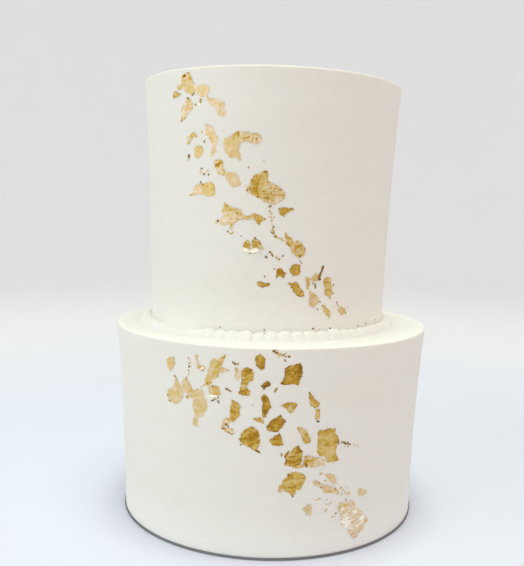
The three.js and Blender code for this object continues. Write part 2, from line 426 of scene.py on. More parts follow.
def grid_faces(rows, turns):
    """Quads between neighbouring rings, closed by fans at the two poles."""
    def ring(row, turn):
        return 1 + (row - 1) * turns + turn % turns
    last = 1 + (rows - 2) * turns
    faces = [(0, ring(1, t + 1), ring(1, t)) for t in range(turns)]
    for row in range(1, rows - 2):
        faces += [(ring(row, t), ring(row, t + 1), ring(row + 1, t + 1), ring(row + 1, t))
                  for t in range(turns)]
    faces += [(ring(rows - 2, t), ring(rows - 2, t + 1), last) for t in range(turns)]
    return faces


def tier_piece(name, title, tier, node):
    rows = profile_rows(tier)
    rim = waves(21 if title == "top" else 22, 9, 24, 400, 900)
    turn = np.linspace(-math.pi, math.pi, TURN_STEPS, endpoint=False)
    points, spread, crust = [], [], []
    run = 0.0
    for k, (radius, up, share_of_waves) in enumerate(rows):
        crust += [painted_light_shade_at(tier, up)] * (1 if k in (0, len(rows) - 1) else TURN_STEPS)
        if k:
            run += math.hypot(radius - rows[k - 1][0], up - rows[k - 1][1])
        if k in (0, len(rows) - 1):
            points.append(tier_point(tier, np.zeros(1), np.zeros(1), up / tier.tall))
            spread.append(np.array([[0, 0, run]]))
            continue
        inside = hollow(title, turn, up) * share_of_waves
        if title == "top":
            side = (turn * tier.top - SMEAR[0]) / SMEAR[2]
            rise = (up - SMEAR[1]) / SMEAR[3]
            patch = np.exp(-side ** 2 - rise ** 2)
            waving = 1 + np.sin(side * SMEAR_WAVES[0] + rise * SMEAR_WAVES[1])
            inside = inside + patch * share_of_waves * SMEAR_DEPTH * waving
            along = (turn * tier.foot - FILLET[0]) / FILLET[1]
            inside = inside - FILLET[3] * np.exp(-along ** 4 - max(0.0, up) / FILLET[2]) * (k > 2)
        ring = tier_point(tier, turn, radius - inside, up / tier.tall)
        near_rim = max(0.0, 1 - (tier.tall - up) / RIM_SOFT) * share_of_waves
        ring[:, 2] -= RIM_UNEVEN * near_rim * (1 + rim(turn, 0.0)) / 2
        points.append(ring)
        spread.append(np.stack([tier.top * np.sin(turn), -tier.top * np.cos(turn),
                                np.full_like(turn, run)], axis=-1))
    piece = mesh_piece(name, np.concatenate(points), grid_faces(len(rows), TURN_STEPS), BUTTERCREAM)
    note_spread(piece, np.concatenate(spread))
    note_values(piece, "crust", crust)
    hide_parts(node)
    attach(piece, "root")
    print(name, "has", len(piece.data.polygons), "faces")
    return piece


tier_piece("bottom_tier_buttercream", "bottom", BOTTOM, "bottom_tier")
tier_piece("top_tier_buttercream", "top", TOP, "top_tier")

# %% [markdown]
# Where the top tier meets the bottom one there is always a gap, and a border hides it. Here it
# is a row of small beads, each squeezed from a round nozzle that is stopped and pulled away, and
# started again while the bead before it is still soft, so that they run into each other. Piped
# by hand, no two are alike. We make the row as one ring: a rounded section that swells and
# shrinks once for each bead, quickly in the valley between two and slowly over the back. At the
# left of the front the beads were wiped into the corner, so the row sinks there and its valleys
# fade.

# %% Bead border
BEADS = 67
BEAD_STEPS = 14       # sections of the ring for each bead
BEAD_SECTION = ((-0.12, 0.0), (-0.12, 0.7), (0.02, 0.86), (0.16, 0.96), (0.3, 1.0), (0.45, 0.985),
                (0.6, 0.92), (0.72, 0.8), (0.82, 0.63), (0.89, 0.45), (0.95, 0.28), (1.02, 0.14),
                (1.1, 0.05), (1.16, 0.0))
BEAD_SUNK = 0.6       # mm, how far the row settles into the tier under it
BEAD_SEED = 19
BEAD_REACH = 7.5      # mm out from the wall, before the last soft edge that runs into the ledge
BEAD_TALL = 6.1       # mm
VALLEY_TALL = 0.3     # how much lower and less far out the row is between two beads
VALLEY_REACH = 0.1
VALLEY_CURVE = 0.92   # how far round its half circle the back of a bead is followed
WIPED_LOWER = 0.4     # how much lower the row is where it was wiped
WIPED_SHALLOW = 0.8   # and how much shallower its valleys


def bulge(across):
    """How far the back of a bead has fallen away at a share of its half length."""
    return 1 - math.sqrt(1 - (VALLEY_CURVE * across) ** 2)


def bead_border():
    draw = random.Random(BEAD_SEED)
    foot_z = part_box("bead_border")[0].z / MM - BEAD_SUNK
    tall = [BEAD_TALL * draw.uniform(0.8, 1.06) for _ in range(BEADS)]
    reach = [BEAD_REACH * draw.uniform(0.9, 1.0) for _ in range(BEADS)]
    valley = [draw.uniform(0.5, 1.2) for _ in range(BEADS)]
    shift = [draw.uniform(-0.3, 0.3) for _ in range(BEADS)]
    out, rise = (np.array(row) for row in zip(*BEAD_SECTION))
    count = BEADS * BEAD_STEPS
    rings = []
    for k in range(count):
        bead, part = divmod(k, BEAD_STEPS)
        across = 2 * (part + 0.5) / BEAD_STEPS - 1
        dip = bulge(across) / bulge(1) * valley[bead]
        turn = 2 * math.pi * (k + 0.5) / count
        front = (turn + math.pi) % (2 * math.pi) - math.pi
        wiped = math.exp(-((front * TOP.foot - FILLET[0]) / FILLET[1]) ** 4)
        dip *= 1 - WIPED_SHALLOW * wiped
        far = TOP.foot - 0.2 + out * reach[bead] * (1 - VALLEY_REACH * dip)
        up = rise * tall[bead] * (1 - VALLEY_TALL * dip) * (1 - WIPED_LOWER * wiped)
        turns = turn + shift[bead] * (1 - across ** 2) * rise / BEADS * math.pi
        rings.append(np.stack([TOP.x + far * np.sin(turns), -far * np.cos(turns), foot_z + up], axis=-1))
    rows = len(BEAD_SECTION)
    faces = [(k * rows + r, k * rows + (r + 1) % rows, (k + 1) % count * rows + (r + 1) % rows,
              (k + 1) % count * rows + r) for k in range(count) for r in range(rows)]
    points = np.concatenate(rings)
    piece = mesh_piece("piped_beads", points, faces, BUTTERCREAM)
    note_spread(piece, points * (1, 1, 0.3))
    # The whole row is painted with the ledge's paler cream: painted light.
    note_values(piece, "crust", np.ones(len(points)))
    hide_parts("bead_border")
    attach(piece, "root")
    return piece


border = bead_border()
print("beads:", BEADS, "faces:", len(border.data.polygons))

# %% [markdown]
# The cake stands on a thin dark card of its own width. Only its edge shows, as a fine dark line
# under the buttercream. Card is paper pressed in layers, so the edge is faintly streaked, and the
# smooth face has a dull shine.

# %% Cake card
CARD_DARK = shade(106, 105, 109)
CARD_PALE = shade(144, 143, 146)


def dark_card():
    finish = Finish("dark_card", Roughness=0.6)
    place = finish.node("ShaderNodeTexCoord", out=3)
    layered = finish.node("ShaderNodeVectorMath", {"operation": "MULTIPLY"},
                          {0: place, 1: (40, 40, 2600)})
    plies = finish.node("ShaderNodeTexNoise", {}, {"Vector": layered, "Scale": 1.0, "Detail": 3.0})
    colour = finish.mix(plies, CARD_DARK, CARD_PALE)
    bump = finish.node("ShaderNodeBump", {}, {"Strength": 0.3, "Distance": 0.0002, "Height": plies})
    return finish.wear(Base_Color=colour, Normal=bump, Roughness=plies * 0.2 + 0.5)


DARK_CARD = dark_card()
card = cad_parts["cake_card"]
card.data.materials.clear()
card.data.materials.append(DARK_CARD)

# %% [markdown]
# Gold leaf is beaten gold a ten-thousandth of a millimetre thick. It is picked up with a brush
# or tweezers in torn scraps and laid on the soft buttercream, where it keeps every crease. A
# scrap in full light looks pale, nearly the colour of straw, and one that turns away looks deep
# and brown, and this light and shade is painted into the tone of each scrap. Creases catch the
# light on their backs and are dark in their valleys, and a torn edge is often folded over, which
# looks darker still: the material paints highlights on the backs of creases, and painted shade in
# their valleys, along the torn edge and in small specks. So three numbers are kept at each point
# of the leaf, for its material to read: the tone of the scrap, how far in from the torn edge the
# point lies, and how high it stands on a crease.

# %% Gold leaf finish
PALEST, DARKEST = -0.3, 1.37      # the tones at the two ends of the ramp
# The ramp runs from a painted highlight, near white, through the gold itself, to painted shade, a dark olive
# brown.
GOLD_TONES = (
    (-0.3, (255, 253, 240)), (0.0, (240, 221, 196)), (0.2, (231, 208, 174)), (0.4, (224, 200, 148)),
    (0.55, (222, 198, 132)), (0.7, (214, 179, 90)), (0.85, (199, 162, 68)), (1.0, (184, 137, 46)),
    (1.3, (138, 104, 48)))
GRAIN_TONE, PATCH_TONE = 0.9, 1.0    # how much the tone wanders from grain to grain and patch to patch
EDGE_SHADE, SPECK_SHADE = 0.2, 0.12    # and how much painted shade deepens a torn edge and a speck
GOLD_STOPS = tuple(((tone - PALEST) / (DARKEST - PALEST), shade(*colour)) for tone, colour in GOLD_TONES)


def gold_leaf():
    finish = Finish("gold_leaf", Metallic=1.0, Roughness=0.4)

    def kept(name):
        return finish.node("ShaderNodeAttribute", {"attribute_name": name}, out=2)

    tone, inset, ridge = kept("tone"), kept("inset"), kept("ridge")
    place = finish.node("ShaderNodeTexCoord", out=3)
    grain = finish.node("ShaderNodeTexNoise", {}, {
        "Vector": place, "Scale": 620.0, "Detail": 4.0, "Roughness": 0.7, "Distortion": 0.8})
    patches = finish.node("ShaderNodeTexNoise", {}, {"Vector": place, "Scale": 190.0, "Detail": 2.0})
    # Painted shade along the torn edge, and in specks of the grain, which are more common near the edge.
    edge_shade_mask = finish.smooth(inset + (patches - 0.5) * 1.6, 0.1, 0.5, 1.0, 0.0)
    speck_shade_mask = finish.smooth(grain - edge_shade_mask * 0.08, 0.3, 0.4, 1.0, 0.0)
    # Subtracting the crease height paints highlights on the backs of creases and painted shade in their
    # valleys.
    depth = tone + (grain - 0.5) * GRAIN_TONE + (patches - 0.5) * PATCH_TONE - ridge
    depth = depth + edge_shade_mask * tone * EDGE_SHADE + speck_shade_mask * SPECK_SHADE
    colour = finish.node("ShaderNodeValToRGB", {"stops": GOLD_STOPS}, {
        "Fac": (depth - PALEST) * (1 / (DARKEST - PALEST))})
    bump = finish.node("ShaderNodeBump", {}, {"Strength": 0.6, "Distance": 0.0004, "Height": grain})
    return finish.wear(Base_Color=colour, Normal=bump, Roughness=grain * 0.3 + 0.42)


GOLD_LEAF = gold_leaf()
print("made", GOLD_LEAF.name, "with", len(GOLD_LEAF.node_tree.nodes), "nodes")

# %% [markdown]
# One scrap of leaf is described by the corners that one would cut with scissors, in millimetres
# on the wall: how far round from the front line, and how far up from the foot. A plain formula
# then tells how far inside its outline any place lies, and where that is more than nothing, there
# is leaf. Adding a wandering noise to that distance tears the edge in bays and teeth, and leaves
# the odd hole and loose crumb, just as tearing does. Where scraps overlap, the one that was laid
# last shows.

# %% One scrap
Scrap = namedtuple("Scrap", "tone creased corners")
TEARS = ((3.2, 0.42), (1.3, 0.48), (0.7, 0.26))   # mm: the size of the bays or teeth, and their reach
FULL_TEAR = 5.0       # mm, how wide a scrap must be to be torn that much


def scrap(tone, creased, *corners):
    return Scrap(tone, creased, np.array(corners, float))


def bit(around, up, long, wide, lean, tone):
    """A crumb or a needle: a small lozenge that leans to the right by so many degrees."""
    tilt = math.radians(lean)
    shape = ((-0.5, 0), (-0.2, 0.5), (0.3, 0.4), (0.5, 0.1), (0.2, -0.5), (-0.3, -0.4))
    return scrap(tone, 0.2, *(
        (around + along * long * math.sin(tilt) + across * wide * math.cos(tilt),
         up + along * long * math.cos(tilt) - across * wide * math.sin(tilt)) for along, across in shape))


def wall_noise(seed, size):
    """A smooth function of a place on the wall that wanders between -1 and 1."""
    table = np.random.RandomState(seed).uniform(-1, 1, (97, 97))

    def value(around, up):
        x, y = around / size, up / size
        i, j = np.floor(x).astype(int), np.floor(y).astype(int)
        fx, fy = x - i, y - j
        fx, fy = fx * fx * (3 - 2 * fx), fy * fy * (3 - 2 * fy)
        i, j = i % 96, j % 96
        low = table[i, j] * (1 - fx) + table[i + 1, j] * fx
        high = table[i, j + 1] * (1 - fx) + table[i + 1, j + 1] * fx
        return low * (1 - fy) + high * fy

    return value


def inside_outline(corners, around, up):
    """How far inside an outline each place lies, in mm, and negative outside it."""
    nearest = np.full(around.shape, 1e9)
    within = np.zeros(around.shape, bool)
    for (ax, ay), (bx, by) in zip(corners, np.roll(corners, -1, axis=0)):
        run, rise = bx - ax, by - ay
        share = ((around - ax) * run + (up - ay) * rise) / (run * run + rise * rise)
        share = np.clip(share, 0, 1)
        nearest = np.minimum(nearest, np.hypot(around - ax - share * run, up - ay - share * rise))
        if ay != by:
            crosses = (ay > up) != (by > up)
            within ^= crosses & (around < ax + (up - ay) / (by - ay) * run)
    return np.where(within, nearest, -nearest)


def leaf_field(scraps, around, up, seed):
    """For a grid of places: how far inside the torn leaf each lies, and its tone and creases."""
    torn = sum(reach * wall_noise(seed + k, size)(around, up) for k, (size, reach) in enumerate(TEARS))
    inside = np.full(around.shape, -9.0)
    tone = np.zeros(around.shape)
    creased = np.zeros(around.shape)
    for one in scraps:
        low, high = one.corners.min(axis=0) - 2, one.corners.max(axis=0) + 2
        near = (around > low[0]) & (around < high[0]) & (up > low[1]) & (up < high[1])
        width = (high - low - 4).min()
        depth = inside_outline(one.corners, around[near], up[near])
        depth = depth + torn[near] * min(1.0, width / FULL_TEAR)
        shows = (depth > 0) | (inside[near] <= depth)
        tone[near] = np.where(shows, one.tone, tone[near])
        creased[near] = np.where(shows, one.creased, creased[near])
        inside[near] = np.maximum(depth, inside[near])
    return inside, tone, creased


SQUARE = np.array(((0, 0), (9, 0), (9, 9), (0, 9)), float)
print("depth in the middle of a 9 mm square:", inside_outline(SQUARE, np.array([4.5]), np.array([4.5])))

# %% [markdown]
# The drift of leaf starts at the upper left of the top tier and falls to its lower right, then
# does the same on the bottom tier. The scraps on the left face the light and look pale. Each
# scrap's tone holds painted light: paler where the scrap faces the light, deeper where it turns
# away. They are listed from the top down, as a decorator would lay them: the tone, how creased
# the scrap is, and then its corners.

# %% Scraps of the top tier
TOP_SCRAPS = [
    scrap(0.36, 0.5, (-57.5, 151), (-55.5, 152.6), (-52, 153), (-50, 150), (-47.6, 146.6), (-45.8, 144.6),
          (-48, 142), (-51, 140), (-52.5, 142.2), (-55, 143), (-57.5, 144.6), (-59.6, 143.4),
          (-62.4, 145.4), (-61, 147), (-58.6, 147.4), (-58, 149.4)),
    scrap(0.58, 0.5, (-65, 143.8), (-63, 144.2), (-60, 142.4), (-58.6, 141.4), (-61, 140.4), (-65.4, 139.8)),
    scrap(0.32, 0.3, (-46.6, 144.4), (-43.5, 145.4), (-40, 145.8), (-38, 144.4), (-37.6, 142),
          (-39.6, 140.2), (-43, 139.4), (-45.4, 141)),
    scrap(0.28, 0.8, (-54.8, 137.6), (-53, 138.6), (-50.6, 138.2), (-49.4, 136), (-48.6, 133.6),
          (-51.4, 131.6), (-53.6, 130), (-55.4, 128), (-58, 126.2), (-58.8, 127.6), (-58, 130),
          (-58.8, 131.4), (-57.4, 134.4), (-55.2, 134.6)),
    scrap(0.0, 0.1, (-57, 133), (-55.4, 134.2), (-54.2, 132.6), (-55, 130.6), (-56.8, 131)),
    scrap(0.18, 0.4, (-39.6, 140.4), (-37.6, 138.6), (-34, 137.6), (-30, 136.6), (-28, 135.4),
          (-27.6, 132), (-26.8, 129.8), (-28, 127.6), (-30.4, 128.6), (-32.4, 131.6), (-35.4, 133.8),
          (-37.6, 135.6), (-38.4, 137.6)),
    scrap(0.34, 0.8, (-54, 117.2), (-51, 117.6), (-49.4, 120), (-47, 119), (-45.4, 117.4),
          (-45.6, 116.6), (-48.4, 117.6), (-50.4, 116), (-51, 113), (-54, 112.8), (-53, 115)),
    scrap(0.25, 0.3, (-40, 121), (-39.4, 124), (-36, 123.2), (-33.8, 120.6), (-32.4, 117.4),
          (-31.6, 115.4), (-32.8, 112), (-32.6, 109), (-34.6, 106), (-36.8, 106), (-36.4, 109),
          (-35.6, 112), (-36, 115), (-38, 117.6), (-40.2, 119)),
    scrap(0.48, 0.3, (-47.6, 110.6), (-46, 112.6), (-42.6, 112), (-41.2, 109.6), (-42.6, 106.4),
          (-45.6, 104.8), (-47.4, 106.6), (-46.8, 108.4)),
    scrap(0.38, 0.35, (-29, 114.4), (-27, 116.4), (-23.4, 117), (-21, 119.4), (-18.6, 120.6),
          (-17, 118.6), (-15.6, 115.4), (-18, 113), (-18.8, 110.4), (-17.4, 107.6), (-16.8, 104.4),
          (-18.2, 104), (-20, 105.6), (-24, 105.6), (-26.8, 108.4), (-28.2, 111.4)),
    scrap(0.36, 1.0, (-21, 119.2), (-15, 119.6), (-11, 118.4), (-8, 119), (-6, 117.6), (-5.4, 114.6),
          (-8.6, 112.8), (-13, 113.8), (-18.4, 114)),
    scrap(0.42, 1.0, (-33.6, 103.8), (-30.6, 104.8), (-28.4, 103.6), (-27.8, 100), (-26.4, 97),
          (-27.6, 95.4), (-31, 96), (-32.2, 99), (-33.6, 101.6)),
    scrap(0.3, 0.25, (-26.4, 97), (-22.6, 97.6), (-19.6, 96.6), (-18.6, 93.4), (-16.6, 90.4),
          (-19, 89), (-22.4, 89.6), (-24.6, 91.6), (-26.8, 94.6)),
    scrap(0.28, 0.5, (-47.4, 89), (-44.4, 90.2), (-41, 90), (-41.4, 84), (-45.4, 84.2), (-50.4, 83.2),
          (-51.6, 83.8), (-47.8, 86)),
    scrap(0.55, 0.3, (-41.2, 89.6), (-38.6, 91.4), (-35, 91.2), (-33, 88.8), (-32.8, 85.2),
          (-35, 83.4), (-38.4, 82.8), (-41, 83.6), (-42.2, 86.6)),
    scrap(0.4, 0.9, (-14.6, 90), (-12.4, 90.4), (-10.6, 89), (-10.4, 86), (-12.6, 85.4), (-14.2, 87),
          (-13.4, 88.4)),
    scrap(0.62, 0.35, (-11.2, 93), (-9.4, 95.4), (-6, 97), (-3.4, 98.8), (-1.2, 98), (-2, 95),
          (-1, 92), (-0.5, 86), (-3, 81.6), (-7, 83.4), (-10, 84.8), (-11, 88), (-11.4, 91)),
    scrap(0.5, 1.0, (-2, 92), (2, 91.4), (4.6, 90.4), (7, 88.2), (9, 85.6), (8.2, 83.2), (6, 80.8),
          (3, 79.8), (0, 80.4), (-3.4, 81.4), (-4, 86)),
    scrap(0.75, 0.4, (5.4, 77.4), (8, 78), (11, 77.6), (14.6, 77.2), (12, 76), (10.4, 74.6),
          (8.6, 72.8), (6.4, 74), (5.6, 75.6)),
    scrap(0.4, 0.75, (-27.4, 80.6), (-24.6, 78.4), (-22.4, 77.2), (-19, 77.6), (-16.8, 76),
          (-16, 73.6), (-14.4, 73.4), (-14, 71.6), (-16.4, 70.4), (-19, 69.4), (-21, 67),
          (-21.6, 64.6), (-23, 65), (-23.6, 67.4), (-26.4, 66.4), (-29, 67.2), (-30, 68.6),
          (-28.6, 70.6), (-27, 71.6), (-28.6, 74), (-27.6, 76.4), (-26.4, 77.6)),
    scrap(0.26, 0.5, (-15, 73.2), (-12, 72.8), (-8.6, 73.4), (-8.8, 71), (-12.2, 70.2), (-15.4, 70.8)),
    scrap(0.6, 0.3, (-9.2, 73.6), (-6.4, 74.4), (-4.2, 73.4), (-3.4, 70.8), (-5, 68.6), (-5.8, 66.4),
          (-7, 68.6), (-8.8, 70.4)),
    scrap(0.65, 0.6, (-14.8, 54.6), (-13.4, 57.6), (-12, 59), (-11, 57), (-10, 55.8), (-10, 53.6),
          (-13.4, 53.6)),
    scrap(0.68, 0.8, (-9.6, 53.8), (-9.4, 57.6), (-8.2, 60.4), (-6.6, 59.4), (-5, 58.6), (-3.6, 56),
          (-2.4, 53.6), (-4.6, 53.4), (-6.6, 54.4)),
    scrap(0.68, 0.4, (10, 63.4), (11, 62.4), (12.6, 61), (14.4, 59.4), (15.6, 57.6), (14, 56),
          (12, 55.2), (10.8, 56.4), (10.2, 58.6)),
    scrap(0.43, 0.8, (15, 57.6), (17, 59), (19.6, 58.2), (21, 56.2), (22.4, 54), (22, 50.6),
          (19.6, 49.6), (17, 49.6), (14.8, 51.4), (13.2, 54.4), (12.6, 56)),
    scrap(0.78, 0.3, (13.4, 42), (15, 45), (17.4, 45.4), (19.6, 45), (20, 42), (20.4, 40.2),
          (18, 38.6), (15.4, 38.2), (14.6, 39.6)),
    scrap(0.84, 0.4, (5, 41), (6.4, 42.8), (8.4, 42.4), (10.4, 40.8), (11.8, 39.8), (10.4, 38.6),
          (9.6, 36.6), (7.4, 37.6), (5.6, 36.8), (5.4, 39)),
    scrap(0.95, 0.6, (-5.8, 34), (-4, 34.8), (-2, 33.4), (0, 33.8), (1.6, 33.4), (1.4, 32),
          (-1, 31.6), (-3, 31.4), (-5, 32)),
    scrap(0.85, 0.4, (12.4, 34.4), (15, 33.4), (16.6, 35.4), (18.4, 34), (20.2, 31.6), (22, 28.8),
          (22.6, 26.2), (21, 25.6), (18.6, 26.4), (16.4, 28.6), (14.6, 31.6)),
    scrap(0.5, 0.4, (23, 37.8), (25.6, 36.4), (26.2, 33), (25.2, 30), (24.2, 30.2), (24, 34)),
    scrap(0.6, 0.4, (26.2, 36), (27.6, 38.4), (29.4, 40.2), (31.2, 37.8), (30, 35.4), (27.6, 35)),
    scrap(0.62, 0.4, (35, 33.4), (36, 36.6), (38.6, 38), (40, 36.2), (40.4, 33), (41.2, 30),
          (42.6, 27.4), (41, 26), (40, 24.2), (38.8, 25.6), (36.6, 26), (35.6, 28), (36.4, 30.6)),
    scrap(0.42, 0.4, (26.2, 29), (28.6, 27.8), (31, 26), (32.4, 23), (31.4, 20.4), (29, 19),
          (26.8, 20.4), (26.2, 24)),
    scrap(0.46, 0.3, (34.8, 20), (36.6, 20.6), (39, 18.4), (41, 16.4), (41.8, 14), (40.4, 12.6),
          (38.2, 14.2), (36.2, 17.2)),
    scrap(0.27, 0.4, (46.4, 18.4), (48.4, 19.2), (51.4, 18.4), (53.4, 16.4), (52.6, 14.8),
          (50.4, 13.4), (47.8, 14.6), (46.4, 16.6)),
]
print("scraps on the top tier:", len(TOP_SCRAPS))

